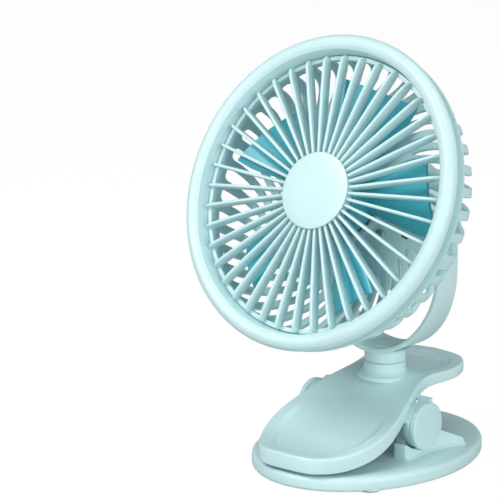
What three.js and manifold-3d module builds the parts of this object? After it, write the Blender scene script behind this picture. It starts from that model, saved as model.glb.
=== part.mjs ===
// Clip fan: a grilled fan head on a U-shaped yoke that swivels on a spring clip.
// Millimetres. +X is the viewer's right, -Y the front (fan face and jaw mouth), +Z up.
// While it is built, y = 0 is the swivel axis and z = 0 the floor under the rubber feet.
import * as THREE from "three";
import { mergeVertices } from "three/addons/utils/BufferGeometryUtils.js";
import Module from "manifold-3d";

// ---------- driving dimensions ----------
const GAP = 0.3; // between pieces that touch
const RUN = 0.5; // running clearance between pieces that turn past each other

// clip base (lower jaw)
const BASE_HALF_LENGTH = 64.5;
const BASE_HALF_WIDTH = 50.2;
const BASE_CENTRE_Y = -13.2;
const BASE_BOTTOM_Z = 1.2;
const BASE_TOP_Z = 8;
const BASE_WALL = 2.4;
const BASE_CHAMFER = 2.2;
const BASE_RIB = 1.8;
const FOOT_R = 6.5;
const FOOT_SEAT = 1.1;
const FOOT_SPREAD_X = 30;
const FOOT_SPREAD_Y = 39;

// clip pivot
const PIVOT_Y = -12.5;
const PIVOT_Z = 21.6;
const AXLE_R = 2.4;
const CAP_R = 11.5;
const CAP_T = 3;
const CAP_SPIGOT_R = 4.5;
const CAP_SPIGOT_L = 2;
const EAR_R = 11.1;
const EAR_X = 26.3;
const EAR_T = 5.7;
const LUG_R = 6.2;
const LUG_T = 4.5;
const FLANK_T = 6.4;

// lever (upper jaw)
const LEVER_NOSE_Y = -78.5;
const LEVER_TAIL_Y = 43;
const LEVER_NOSE_HALF = 32.4;
const LEVER_NOSE_WIDE_Y = -42;
const LEVER_WAIST_HALF = 22.2;
const LEVER_WAIST_Y = 3;
const LEVER_TAIL_HALF = 25.6;
const LEVER_TAIL_WIDE_Y = 25;
const LEVER_NOSE_Z = 17.5;
const LEVER_TAIL_Z = 40.4;
const LEVER_SLOPE_Y0 = -72;
const LEVER_SLOPE_Y1 = 12;
const LEVER_SKIRT = 7.2;
const LEVER_WALL = 2.2;
const LEVER_ROUND = 1.1;
const DISH_Y = -50;
const DISH_HALF_X = 24;
const DISH_HALF_Y = 18;
const DISH_DEPTH = 1.3;
const PAD_T = 1.8;
const PAD_HALF_X = 23;
const PAD_FRONT_Y = -72;
const PAD_BACK_Y = -36;

// torsion spring
const WIRE_D = 1.5;
const COIL_R = 5.2;
const COIL_PITCH = 2.1;
const COIL_TURNS = 4;
const COIL_OUTER_X = 20.2;
const BRIDGE_Y = 15.6;
const CURL_STEPS = 8;
const WIRE_SIDES = 5;
const SLEEVE_WALL = 1.6;

// swivel post and yoke
const POST_R = 10;
const COLLAR_TOP_Z = 45.9;
const COLLAR_FOOT_R = 13.5;
const YOKE_BOTTOM_Z = 51.6;
const YOKE_T = 2.4;
const YOKE_CLEARANCE = 0.6; // from the drum to the inside of the yoke's ends
const YOKE_RISE = 43;
const YOKE_FOOT_W = 24;
const YOKE_ARM_W = 15.6;
const YOKE_END_R = 9;
const YOKE_END_EXTRA = 1;
const BOLT_R = 2.4;
const BOLT_HEAD_R = 5;
const YOKE_CAP_R = 8;

// head
const TILT_Z = 115.3;
const TILT_DEG = 22.5;
const RING_AT = 59.1; // distance from the tilt axis to the plane of the ring's largest radius
const RING_R = 75;
const RING_FRONT = 4.1;
const RING_BACK = 7.6;
const RING_BAND = 8.7; // radial width of the bezel
const GRILLE_RING_T = 4;
const GRILLE_RING_DEPTH = 3.2;
const SPOKES = 40;
const SPOKE_W = 2;
const SPOKE_DEPTH = 6;
const HUB_R = 18.2;
const HUB_CAP_T = 1.6;
const CAGE_RIBS = 40;
const CAGE_RIB_W = 3.6;
const CAGE_RIB_T = 2;
const CAGE_DEPTH = 30.6;
const CAGE_FLANGE_T = 2;
const CAGE_INSET = 1.4; // from the ring's radius to the flange's
const CAGE_WALL_INSET = 9; // from the ring's radius to the cage's shoulder
const CAGE_SWIRL_DEG = 24;
const DISH_R = 38.5;
const DISH_T = 2.4;
const WING_W = 7;
const WING_DEG = -17;
const POD_R = 33.5;
const POD_WALL = 2.4;
const POD_BACK = -5.3;
const COVER_T = 3.8;

// fan drive
const BLADES = 5;
const BLADE_TIP = 53.5;
const BLADE_T = 1.6;
const BLADE_AT = 43.5;
const BLADE_TURN_DEG = 8;
const IMPELLER_HUB_R = 16.8;
const IMPELLER_HUB_DEPTH = 16;
const SHAFT_R = 1.5;
const MOTOR_R = 14;
const MOTOR_L = 8;

// electrics in the pod
const CELL_T = 9;
const CELL_HALF_X = 22;
const CELL_HALF_Y = 15;
const BOARD_T = 1.6;
const BOARD_HALF_X = 14;
const BOARD_HALF_Y = 20;
const BOARD_AT = 3;
const BUTTON_R = 6;
const BUTTON_PROUD = 1.3;
const BUTTON_FLANGE = 1.2;
const BUTTON_TRAVEL = 0.8;
const USB_HALF_W = 4.5;
const USB_HALF_H = 1.6;
const USB_Y = -16;
const LENS_R = 1.5;
const LENS_Y = 13;
const SCREW_R = 1.4;
const SCREW_HEAD_R = 2.6;
const SCREW_HEAD_T = 1.6;
const COVER_SCREW_AT = 27;
const TILT_SCREW_R = 2;
const TILT_HEAD_R = 4.2;
const TILT_CAP_R = 6;

// facets
const ROUND = 48;
const MEDIUM = 36;
const SMALL = 16;
const TINY = 10;

// ---------- colours and finishes ----------
const MINT = { color: 0xcdeeee, roughness: 0.42, metalness: 0 };
const MINT_DARK = { color: 0x9cc4c4, roughness: 0.5, metalness: 0 };
const TEAL = { color: 0x3fa5b8, roughness: 0.38, metalness: 0 };
const RUBBER = { color: 0x4b5355, roughness: 0.85, metalness: 0 };
const PAD = { color: 0x8c9898, roughness: 0.85, metalness: 0 };
const STEEL = { color: 0xb9bec2, roughness: 0.3, metalness: 1 };
const SLEEVE = { color: 0x2f3a3a, roughness: 0.6, metalness: 0 };
const BOARD = { color: 0x1f6b45, roughness: 0.6, metalness: 0 };
const CELL = { color: 0xaeb4b8, roughness: 0.4, metalness: 0.6 };
const COPPER = { color: 0x8f6a4a, roughness: 0.4, metalness: 0.8 };
const LENS = { color: 0xf2f6f8, roughness: 0.15, metalness: 0 };

// ---------- solids ----------
const wasm = await Module();
wasm.setup();

// A closed geometry as a solid that faces outwards.
function solid(geometry) {
  const bare = new THREE.BufferGeometry();
  bare.setAttribute("position", geometry.getAttribute("position"));
  bare.setIndex(geometry.index);
  const merged = mergeVertices(bare, 1e-4);
  const kept = [];
  const index = merged.index.array;
  for (let i = 0; i < index.length; i += 3) {
    const [a, b, c] = [index[i], index[i + 1], index[i + 2]];
    if (a !== b && b !== c && c !== a) kept.push(a, b, c);
  }
  const build = (triangles) =>
    new wasm.Manifold(
      new wasm.Mesh({
        numProp: 3,
        vertProperties: merged.attributes.position.array,
        triVerts: new Uint32Array(triangles),
      }),
    );
  const made = build(kept);
  if (made.volume() > 0) return made;
  const turned = [];
  for (let i = 0; i < kept.length; i += 3) turned.push(kept[i], kept[i + 2], kept[i + 1]);
  return build(turned);
}

function geometryOf(body) {
  const mesh = body.getMesh();
  const count = mesh.numProp;
  const places = new Float32Array((mesh.vertProperties.length / count) * 3);
  for (let i = 0; i < places.length / 3; i++) {
    places.set(mesh.vertProperties.subarray(i * count, i * count + 3), i * 3);
  }
  const geometry = new THREE.BufferGeometry();
  geometry.setAttribute("position", new THREE.BufferAttribute(places, 3));
  geometry.setIndex(new THREE.BufferAttribute(mesh.triVerts, 1));
  return geometry;
}

const join = (first, ...rest) => rest.reduce((sum, next) => sum.add(next), first);
const cut = (first, ...rest) => rest.reduce((left, next) => left.subtract(next), first);

// ---------- primitives ----------
function box(x0, x1, y0, y1, z0, z1) {
  const made = new THREE.BoxGeometry(x1 - x0, y1 - y0, z1 - z0);
  made.translate((x0 + x1) / 2, (y0 + y1) / 2, (z0 + z1) / 2);
  return solid(made);
}

function rodZ(radius, z0, z1, x = 0, y = 0, sides = SMALL) {
  const made = new THREE.CylinderGeometry(radius, radius, z1 - z0, sides);
  made.rotateX(Math.PI / 2);
  made.translate(x, y, (z0 + z1) / 2);
  return solid(made);
}

function rodX(radius, x0, x1, y = 0, z = 0, sides = SMALL) {
  const made = new THREE.CylinderGeometry(radius, radius, x1 - x0, sides);
  made.rotateZ(Math.PI / 2);
  made.translate((x0 + x1) / 2, y, z);
  return solid(made);
}

// A profile of [radius, height] points turned about Z. It closes on itself or on the axis.
function turned(profile, sides = ROUND) {
  const points = profile.map(([r, z]) => new THREE.Vector2(r, z));
  const made = new THREE.LatheGeometry(points, sides);
  made.rotateX(Math.PI / 2);
  return solid(made);
}

// The same, turned about X: heights run outwards along +X.
function turnedX(profile, y, z, sides) {
  const points = profile.map(([r, x]) => new THREE.Vector2(r, x));
  const made = new THREE.LatheGeometry(points, sides);
  made.rotateZ(-Math.PI / 2);
  made.translate(0, y, z);
  return solid(made);
}

// An outline of [y, z] points, extruded from x0 to x1.
function plateX(outline, x0, x1) {
  const shape = new THREE.Shape(outline.map(([y, z]) => new THREE.Vector2(y, z)));
  const made = new THREE.ExtrudeGeometry(shape, { depth: x1 - x0, bevelEnabled: false });
  const turn = new THREE.Matrix4().makeBasis(
    new THREE.Vector3(0, 1, 0),
    new THREE.Vector3(0, 0, 1),
    new THREE.Vector3(1, 0, 0),
  );
  made.applyMatrix4(turn);
  made.translate(x0, 0, 0);
  return solid(made);
}

// An outline of [x, y] points, extruded from z0 to z1.
function plateZ(outline, z0, z1) {
  const shape = new THREE.Shape(outline.map(([x, y]) => new THREE.Vector2(x, y)));
  const made = new THREE.ExtrudeGeometry(shape, { depth: z1 - z0, bevelEnabled: false });
  made.translate(0, 0, z0);
  return solid(made);
}

// Skins a row of rings that all have the same number of points, and closes both ends.
function loft(rings) {
  const size = rings[0].length;
  const places = [];
  const index = [];
  for (const ring of rings) for (const p of ring) places.push(p.x, p.y, p.z);
  for (let i = 0; i + 1 < rings.length; i++) {
    for (let j = 0; j < size; j++) {
      const a = i * size + j;
      const b = i * size + ((j + 1) % size);
      index.push(a, b, a + size, b, b + size, a + size);
    }
  }
  for (const end of [0, rings.length - 1]) {
    const ring = rings[end];
    const centre = ring.reduce((sum, p) => sum.add(p), new THREE.Vector3());
    centre.divideScalar(size);
    const hub = places.length / 3;
    places.push(centre.x, centre.y, centre.z);
    for (let j = 0; j < size; j++) {
      const a = end * size + j;
      const b = end * size + ((j + 1) % size);
      if (end === 0) index.push(b, a, hub);
      else index.push(a, b, hub);
    }
  }
  const made = new THREE.BufferGeometry();
  made.setAttribute("position", new THREE.BufferAttribute(new Float32Array(places), 3));
  made.setIndex(index);
  return solid(made);
}

// A round wire along a line of points, with its section carried along without twisting.
function wire(points, radius, sides) {
  const rings = [];
  let side = new THREE.Vector3(1, 0, 0);
  points.forEach((p, i) => {
    const before = points[Math.max(i - 1, 0)];
    const after = points[Math.min(i + 1, points.length - 1)];
    const along = after.clone().sub(before).normalize();
    side = side.clone().addScaledVector(along, -side.dot(along)).normalize();
    const across = along.clone().cross(side);
    const ring = [];
    for (let j = 0; j < sides; j++) {
      const turn = (j / sides) * 2 * Math.PI;
      const out = side.clone().multiplyScalar(Math.cos(turn));
      out.addScaledVector(across, Math.sin(turn));
      ring.push(p.clone().addScaledVector(out, radius));
    }
    rings.push(ring);
  });
  return loft(rings);
}

// An arc of [a, b] points about a centre, between two angles in degrees.
function arc(centreA, centreB, radius, from, to, steps) {
  const points = [];
  for (let i = 0; i <= steps; i++) {
    const turn = THREE.MathUtils.degToRad(from + ((to - from) * i) / steps);
    points.push([centreA + radius * Math.cos(turn), centreB + radius * Math.sin(turn)]);
  }
  return points;
}

function mirrored(body) {
  return body.mirror([1, 0, 0]);
}

const MESHES = [];
function named(name, body, look, group) {
  const mesh = new THREE.Mesh(geometryOf(body), new THREE.MeshStandardMaterial(look));
  mesh.name = name;
  group.add(mesh);
  MESHES.push(mesh);
}

// ---------- lever form ----------
const leverOutline = new THREE.CatmullRomCurve3(
  [
    [0, LEVER_NOSE_Y],
    [LEVER_NOSE_HALF * 0.5, LEVER_NOSE_Y + 2.5],
    [LEVER_NOSE_HALF * 0.86, (LEVER_NOSE_Y + LEVER_NOSE_WIDE_Y) / 2],
    [LEVER_NOSE_HALF, LEVER_NOSE_WIDE_Y],
    [(LEVER_NOSE_HALF + LEVER_WAIST_HALF) / 2 + 0.9, (LEVER_NOSE_WIDE_Y + LEVER_WAIST_Y) / 2],
    [LEVER_WAIST_HALF, LEVER_WAIST_Y],
    [LEVER_TAIL_HALF, LEVER_TAIL_WIDE_Y],
    [LEVER_TAIL_HALF * 0.72, LEVER_TAIL_Y - 4],
    [0, LEVER_TAIL_Y],
    [-LEVER_TAIL_HALF * 0.72, LEVER_TAIL_Y - 4],
  ].map(([x, y]) => new THREE.Vector3(x, y, 0)),
  false,
  "centripetal",
);
const OUTLINE_SAMPLES = leverOutline.getPoints(400).filter((p) => p.x >= 0);

// Half-width of the lever at a station along its length.
function leverHalf(y) {
  let best = 0;
  for (let i = 0; i + 1 < OUTLINE_SAMPLES.length; i++) {
    const a = OUTLINE_SAMPLES[i];
    const b = OUTLINE_SAMPLES[i + 1];
    if ((a.y <= y && b.y >= y) || (b.y <= y && a.y >= y)) {
      const share = a.y === b.y ? 0 : (y - a.y) / (b.y - a.y);
      best = Math.max(best, a.x + share * (b.x - a.x));
    }
  }
  return best;
}

// Height of the lever's top skin: an S from the low nose up to the level tail.
function leverTop(y) {
  const share = (y - LEVER_SLOPE_Y0) / (LEVER_SLOPE_Y1 - LEVER_SLOPE_Y0);
  return THREE.MathUtils.lerp(LEVER_NOSE_Z, LEVER_TAIL_Z, THREE.MathUtils.smoothstep(share, 0, 1));
}

// The thumb dish sunk in the nose.
function leverDish(x, y) {
  const a = Math.abs(x / DISH_HALF_X) ** 3;
  const b = Math.abs((y - DISH_Y) / DISH_HALF_Y) ** 3;
  return DISH_DEPTH * (1 - THREE.MathUtils.smoothstep(a + b, 0.45, 1.15));
}

// Stations along the lever, closer together towards both ends.
function stations(from, to, count) {
  const list = [];
  for (let i = 0; i <= count; i++) {
    const even = i / count;
    const eased = (1 - Math.cos(Math.PI * even)) / 2;
    list.push(THREE.MathUtils.lerp(from, to, 0.35 * even + 0.65 * eased));
  }
  return list;
}

function leverSkin() {
  const across = 4;
  const end = 0.12;
  const rings = stations(LEVER_NOSE_Y + end, LEVER_TAIL_Y - end, 22).map((y) => {
    const half = leverHalf(y);
    const top = leverTop(y);
    const round = Math.min(LEVER_ROUND, half * 0.4);
    const ring = [];
    ring.push(new THREE.Vector3(-half, y, top - LEVER_SKIRT));
    ring.push(new THREE.Vector3(-half, y, top - round));
    for (let i = -across; i <= across; i++) {
      const x = ((half - round) * i) / across;
      ring.push(new THREE.Vector3(x, y, top - leverDish(x, y)));
    }
    ring.push(new THREE.Vector3(half, y, top - round));
    ring.push(new THREE.Vector3(half, y, top - LEVER_SKIRT));
    return ring;
  });
  return loft(rings);
}

function leverHollow() {
  const reach = 0.2;
  const from = LEVER_NOSE_Y + LEVER_WALL + reach;
  const to = LEVER_TAIL_Y - LEVER_WALL - reach;
  const rings = stations(from, to, 14).map((y) => {
    const half = Math.max(leverHalf(y) - LEVER_WALL, 0.6);
    const top = leverTop(y) - LEVER_WALL - DISH_DEPTH * (y < PIVOT_Y ? 1 : 0.2);
    const low = leverTop(y) - LEVER_SKIRT - 1;
    return [
      new THREE.Vector3(-half, y, low),
      new THREE.Vector3(-half, y, top - 1),
      new THREE.Vector3(-half + 1, y, top),
      new THREE.Vector3(half - 1, y, top),
      new THREE.Vector3(half, y, top - 1),
      new THREE.Vector3(half, y, low),
    ];
  });
  return loft(rings);
}

// ---------- clip pivot ----------
const EAR_OUT_X = EAR_X + EAR_T;
const LUG_X = EAR_X - RUN - LUG_T;
const EAR_FRONT_Y = PIVOT_Y - EAR_R - 4.9;
const EAR_REAR_Y = PIVOT_Y + 6.5;
const SCOOP_R = EAR_R + RUN;

// Side outline of a lever ear: a flag under the skirt that ends in a round barrel.
function earOutline() {
  const start = THREE.MathUtils.radToDeg(Math.acos((EAR_REAR_Y - PIVOT_Y) / EAR_R));
  const points = [[EAR_REAR_Y, leverTop(EAR_REAR_Y) - LEVER_SKIRT + 0.4]];
  points.push(...arc(PIVOT_Y, PIVOT_Z, EAR_R, start, -110, 12));
  points.push([PIVOT_Y - EAR_R * 0.78, PIVOT_Z - EAR_R * 0.79]);
  points.push([PIVOT_Y - EAR_R * 1.12, PIVOT_Z - EAR_R * 0.58]);
  points.push([EAR_FRONT_Y, PIVOT_Z - EAR_R * 0.4]);
  points.push([EAR_FRONT_Y, leverTop(EAR_FRONT_Y) - LEVER_SKIRT + 0.4]);
  return points.reverse();
}

// The shelf that ties an ear to the skirt, with the crescent slit beside the skirt.
function earShelf() {
  const rings = [];
  for (let i = 0; i <= 6; i++) {
    const y = THREE.MathUtils.lerp(EAR_FRONT_Y, EAR_REAR_Y, i / 6);
    const z = leverTop(y) - LEVER_SKIRT;
    const inner = leverHalf(y) - LEVER_WALL * 0.6;
    rings.push([
      new THREE.Vector3(inner, y, z),
      new THREE.Vector3(EAR_OUT_X, y, z),
      new THREE.Vector3(EAR_OUT_X, y, z + 2),
      new THREE.Vector3(inner, y, z + 2),
    ]);
  }
  const slit = [];
  for (let i = 0; i <= 6; i++) {
    const share = i / 6;
    const y = THREE.MathUtils.lerp(EAR_FRONT_Y + 5, EAR_REAR_Y - 1.5, share);
    const half = leverHalf(y) + 0.05;
    const wide = 0.3 + 1.9 * Math.sin(Math.PI * share);
    const low = leverTop(y) - LEVER_SKIRT - 1;
    slit.push([
      new THREE.Vector3(half, y, low),
      new THREE.Vector3(half + wide, y, low),
      new THREE.Vector3(half + wide, y, low + 4),
      new THREE.Vector3(half, y, low + 4),
    ]);
  }
  return cut(loft(rings), loft(slit));
}

const COLLAR_SEAT_Z = leverTop(0) - LEVER_WALL - 1;
const WASHER_R = 7;
const WASHER_T = 0.9;
function leverCollar() {
  const foot = COLLAR_SEAT_Z;
  const skin = leverTop(0) + 0.2;
  return turned(
    [
      [0, foot],
      [COLLAR_FOOT_R, foot],
      [COLLAR_FOOT_R, skin],
      [POST_R + 1.4, skin + 0.9],
      [POST_R + 0.4, skin + 2.2],
      [POST_R + 0.1, COLLAR_TOP_Z],
      [0, COLLAR_TOP_Z],
    ],
    32,
  );
}

const PAD_Z = BASE_TOP_Z + GAP + PAD_T; // top face of the lower pad

// The tray inside the nose that carries the upper pad, hung from the skin by ribs.
function padTray() {
  const low = PAD_Z + GAP + PAD_T + GAP;
  let body = plateZ(padOutline(1.2), low, low + BASE_RIB);
  for (const x of [-PAD_HALF_X, -PAD_HALF_X / 3, PAD_HALF_X / 3, PAD_HALF_X]) {
    const top = (y) => leverTop(y) - LEVER_WALL * 0.7 - DISH_DEPTH;
    const front = PAD_FRONT_Y + 12;
    const middle = (front + PAD_BACK_Y) / 2;
    const outline = [
      [front, low],
      [PAD_BACK_Y, low],
      [PAD_BACK_Y, top(PAD_BACK_Y)],
      [middle, top(middle)],
      [front, top(front)],
    ];
    body = join(body, plateX(outline, x - BASE_RIB / 2, x + BASE_RIB / 2));
  }
  return body;
}

// Plan outline of the jaw pads, rounded at its front like the nose.
function padOutline(grow = 0) {
  const half = PAD_HALF_X + grow;
  const front = PAD_FRONT_Y - grow;
  const back = PAD_BACK_Y + grow;
  const round = half * 0.62;
  return [
    [-half, back],
    [half, back],
    ...arc(half - round, front + round, round, 0, -90, 5),
    ...arc(round - half, front + round, round, -90, -180, 5),
  ];
}

function lever() {
  let body = cut(leverSkin(), leverHollow());
  const ear = plateX(earOutline(), EAR_X, EAR_OUT_X);
  const flank = join(ear, earShelf());
  body = join(body, flank, mirrored(flank), leverCollar(), padTray());
  // ribs under the tail
  for (const x of [-12, 12]) {
    const rib = plateX(
      [
        [16, leverTop(16) - LEVER_SKIRT + 2.4],
        [36, leverTop(36) - LEVER_SKIRT + 2.4],
        [36, leverTop(36) - LEVER_WALL],
        [16, leverTop(16) - LEVER_WALL],
      ],
      x - BASE_RIB / 2,
      x + BASE_RIB / 2,
    );
    body = join(body, rib);
  }
  const bore = rodX(AXLE_R + GAP, -EAR_OUT_X - 1, EAR_OUT_X + 1, PIVOT_Y, PIVOT_Z, SMALL);
  const spigotR = CAP_SPIGOT_R + GAP;
  const spigotX = EAR_OUT_X - CAP_SPIGOT_L - GAP;
  const socket = rodX(spigotR, spigotX, EAR_OUT_X + 1, PIVOT_Y, PIVOT_Z, SMALL);
  const stem = rodZ(BOLT_R + GAP, PIVOT_Z, COLLAR_TOP_Z + 1);
  const washerSeat = rodZ(WASHER_R + 1, PIVOT_Z + EAR_R, COLLAR_SEAT_Z, 0, 0, 20);
  return cut(body, bore, socket, mirrored(socket), stem, washerSeat);
}

// ---------- base ----------
function baseOutline(inset) {
  const points = [];
  for (let i = 0; i < ROUND; i++) {
    const turn = (i / ROUND) * 2 * Math.PI;
    points.push([
      (BASE_HALF_WIDTH - inset) * Math.cos(turn),
      BASE_CENTRE_Y + (BASE_HALF_LENGTH - inset) * Math.sin(turn),
    ]);
  }
  return points;
}

function basePlate() {
  const levels = [
    [BASE_CHAMFER * 0.5, BASE_BOTTOM_Z],
    [0, BASE_BOTTOM_Z + BASE_CHAMFER * 0.5],
    [0, BASE_TOP_Z - BASE_CHAMFER * 0.8],
    [BASE_CHAMFER * 0.45, BASE_TOP_Z - BASE_CHAMFER * 0.25],
    [BASE_CHAMFER * 1.2, BASE_TOP_Z],
  ];
  const rings = levels.map(([inset, z]) =>
    baseOutline(inset).map(([x, y]) => new THREE.Vector3(x, y, z)),
  );
  return loft(rings);
}

// Top edge of the flank wall beside an ear: level, scooped round the ear, then sloping back.
const FLANK_FRONT_Y = EAR_FRONT_Y + 0.6;
const FLANK_REAR_Y = PIVOT_Y + 24.5;
function flankTop(y) {
  const front = PIVOT_Z - EAR_R * 0.58 - RUN;
  const back = THREE.MathUtils.lerp(
    PIVOT_Z - 4.6,
    BASE_TOP_Z + 3,
    (y - PIVOT_Y - SCOOP_R) / (FLANK_REAR_Y - PIVOT_Y - SCOOP_R),
  );
  const off = y - PIVOT_Y;
  const scoop = Math.abs(off) < SCOOP_R ? PIVOT_Z - Math.sqrt(SCOOP_R ** 2 - off ** 2) : PIVOT_Z;
  if (off >= SCOOP_R * 0.9) return Math.min(back, scoop);
  if (off > -EAR_R * 0.6) return Math.min(scoop, front);
  const lean = THREE.MathUtils.mapLinear(off, -EAR_R * 0.6, -EAR_R * 1.4, 0, 1);
  const low = PIVOT_Z - Math.sqrt(SCOOP_R ** 2 - (EAR_R * 0.6) ** 2) - RUN;
  return THREE.MathUtils.lerp(low, PIVOT_Z - EAR_R * 0.45 - RUN - 0.6, Math.min(lean, 1));
}

function flank() {
  const count = 18;
  const rings = [];
  for (let i = 0; i <= count; i++) {
    const y = THREE.MathUtils.lerp(FLANK_FRONT_Y, FLANK_REAR_Y, i / count);
    const flare = 6.5 * THREE.MathUtils.smoothstep(y, PIVOT_Y + 4, FLANK_REAR_Y + 4);
    const out = EAR_X + FLANK_T + flare;
    const top = Math.max(flankTop(y), BASE_TOP_Z + 0.4);
    const knee = Math.min(BASE_TOP_Z + 2.2, top - 0.2);
    rings.push([
      new THREE.Vector3(EAR_X, y, BASE_TOP_Z - 1),
      new THREE.Vector3(out + 1.8, y, BASE_TOP_Z - 1),
      new THREE.Vector3(out + 1.8, y, BASE_TOP_Z),
      new THREE.Vector3(out + 0.4, y, knee),
      new THREE.Vector3(out, y, top),
      new THREE.Vector3(EAR_X + flare, y, top),
      new THREE.Vector3(EAR_X + flare, y, knee),
    ]);
  }
  return loft(rings);
}

// Lug on the base that carries the axle, with flared roots.
function lug() {
  const root = BASE_TOP_Z - 1;
  const outline = [[PIVOT_Y + 15, root]];
  outline.push([PIVOT_Y + 15, BASE_TOP_Z + 0.6]);
  outline.push([PIVOT_Y + 9.5, BASE_TOP_Z + 2.2]);
  outline.push([PIVOT_Y + 7, BASE_TOP_Z + 6]);
  outline.push(...arc(PIVOT_Y, PIVOT_Z, LUG_R, -10, 190, 12));
  outline.push([PIVOT_Y - 7, BASE_TOP_Z + 6]);
  outline.push([PIVOT_Y - 9.5, BASE_TOP_Z + 2.2]);
  outline.push([PIVOT_Y - 14, BASE_TOP_Z + 0.6]);
  outline.push([PIVOT_Y - 14, root]);
  return plateX(outline, LUG_X, LUG_X + LUG_T);
}

const FOOT_PLACES = [
  ["front_left", -1, -1],
  ["front_right", 1, -1],
  ["rear_left", -1, 1],
  ["rear_right", 1, 1],
];

function base() {
  const ceiling = BASE_TOP_Z - BASE_WALL;
  const hollow = plateZ(baseOutline(BASE_WALL + 1.4), BASE_BOTTOM_Z - 1, ceiling);
  let inside = hollow;
  const long = BASE_HALF_LENGTH;
  for (const x of [-LUG_X - LUG_T / 2, 0, LUG_X + LUG_T / 2]) {
    const y0 = BASE_CENTRE_Y - long;
    const y1 = BASE_CENTRE_Y + long;
    inside = cut(inside, box(x - BASE_RIB / 2, x + BASE_RIB / 2, y0, y1, BASE_BOTTOM_Z, ceiling + 1));
  }
  for (const y of [PIVOT_Y - 24, PIVOT_Y, PIVOT_Y + 24]) {
    const x1 = BASE_HALF_WIDTH;
    inside = cut(inside, box(-x1, x1, y - BASE_RIB / 2, y + BASE_RIB / 2, BASE_BOTTOM_Z, ceiling + 1));
  }
  for (const [, sideX, sideY] of FOOT_PLACES) {
    const x = sideX * FOOT_SPREAD_X;
    const y = BASE_CENTRE_Y + sideY * FOOT_SPREAD_Y;
    inside = cut(inside, rodZ(FOOT_R + 1.8, BASE_BOTTOM_Z, ceiling + 1, x, y, SMALL));
  }
  for (const side of [-1, 1]) {
    inside = cut(inside, rodZ(3, BASE_BOTTOM_Z, ceiling + 1, side * COIL_OUTER_X, LEG_Y, TINY));
  }
  let body = cut(basePlate(), inside);
  const wall = join(flank(), lug());
  body = join(body, wall, mirrored(wall));
  for (const [, sideX, sideY] of FOOT_PLACES) {
    const x = sideX * FOOT_SPREAD_X;
    const y = BASE_CENTRE_Y + sideY * FOOT_SPREAD_Y;
    body = cut(body, rodZ(FOOT_R + GAP, BASE_BOTTOM_Z - 1, BASE_BOTTOM_Z + FOOT_SEAT, x, y, SMALL));
  }
  for (const side of [-1, 1]) {
    const hole = rodZ(WIRE_D / 2 + GAP, LEG_END_Z - GAP, BASE_TOP_Z + 1, side * COIL_OUTER_X, LEG_Y, TINY);
    body = cut(body, hole);
  }
  return cut(body, rodX(AXLE_R + GAP, -EAR_X, EAR_X, PIVOT_Y, PIVOT_Z, SMALL));
}

function foot(x, y) {
  const seat = BASE_BOTTOM_Z + FOOT_SEAT - GAP;
  const made = turned(
    [
      [0, 0],
      [FOOT_R - 0.6, 0],
      [FOOT_R, 0.6],
      [FOOT_R, seat],
      [0, seat],
    ],
    SMALL,
  );
  return made.translate([x, y, 0]);
}

// ---------- torsion spring ----------
const LEG_Y = PIVOT_Y - COIL_R;
const LEG_END_Z = BASE_TOP_Z - 2;

// Centre line: a leg in the base, a coil, the bridge under the tail, the other coil and leg.
function springLine() {
  const bridgeZ = leverTop(BRIDGE_Y) - LEVER_WALL - DISH_DEPTH * 0.2 - GAP - WIRE_D / 2;
  const toY = BRIDGE_Y - PIVOT_Y;
  const toZ = bridgeZ - PIVOT_Z;
  const leave = Math.atan2(toZ, toY) + Math.acos(COIL_R / Math.hypot(toY, toZ));
  const sweep = Math.PI - leave + 2 * Math.PI * COIL_TURNS;
  const steps = Math.round((sweep / (2 * Math.PI)) * CURL_STEPS);
  const half = [];
  for (const share of [0, 0.5]) {
    half.push([COIL_OUTER_X, LEG_Y, THREE.MathUtils.lerp(LEG_END_Z, PIVOT_Z, share)]);
  }
  for (let i = 0; i <= steps; i++) {
    const turn = Math.PI - (sweep * i) / steps;
    const x = COIL_OUTER_X - (COIL_PITCH * sweep * i) / steps / (2 * Math.PI);
    half.push([x, PIVOT_Y + COIL_R * Math.cos(turn), PIVOT_Z + COIL_R * Math.sin(turn)]);
  }
  const innerX = half[half.length - 1][0];
  const bend = WIRE_D;
  half.push([innerX, BRIDGE_Y - bend, bridgeZ - (bend * toZ) / toY / 2]);
  half.push([innerX - bend * 0.4, BRIDGE_Y - bend * 0.3, bridgeZ]);
  half.push([innerX - bend * 1.3, BRIDGE_Y, bridgeZ]);
  const other = half.map(([x, y, z]) => [-x, y, z]).reverse();
  return [...half, ...other].map(([x, y, z]) => new THREE.Vector3(x, y, z));
}

function springBody() {
  const line = springLine();
  let least = Infinity;
  for (let i = 0; i < line.length; i++) {
    for (let j = i + CURL_STEPS - 2; j < line.length; j++) {
      least = Math.min(least, line[i].distanceTo(line[j]) - WIRE_D);
    }
  }
  console.log("torsion spring: least gap to itself " + least.toFixed(2) + " mm");
  return wire(line, WIRE_D / 2, WIRE_SIDES);
}

const COIL_INNER_X = COIL_OUTER_X - COIL_PITCH * (COIL_TURNS + 0.25);
function sleeve() {
  const half = COIL_INNER_X - WIRE_D / 2 - GAP - 0.4;
  const inner = AXLE_R + GAP;
  const outer = inner + SLEEVE_WALL;
  const ring = turned(
    [
      [inner, -half],
      [outer, -half],
      [outer, half],
      [inner, half],
      [inner, -half],
    ],
    20,
  );
  return ring.rotate([0, 90, 0]).translate([0, PIVOT_Y, PIVOT_Z]);
}

function pivotCap() {
  const face = EAR_OUT_X + GAP;
  return turnedX(
    [
      [0, face - CAP_SPIGOT_L],
      [CAP_SPIGOT_R, face - CAP_SPIGOT_L],
      [CAP_SPIGOT_R, face],
      [CAP_R, face],
      [CAP_R, face + CAP_T - 1],
      [CAP_R - 1, face + CAP_T],
      [0, face + CAP_T + 0.3],
    ],
    PIVOT_Y,
    PIVOT_Z,
    28,
  );
}

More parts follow.
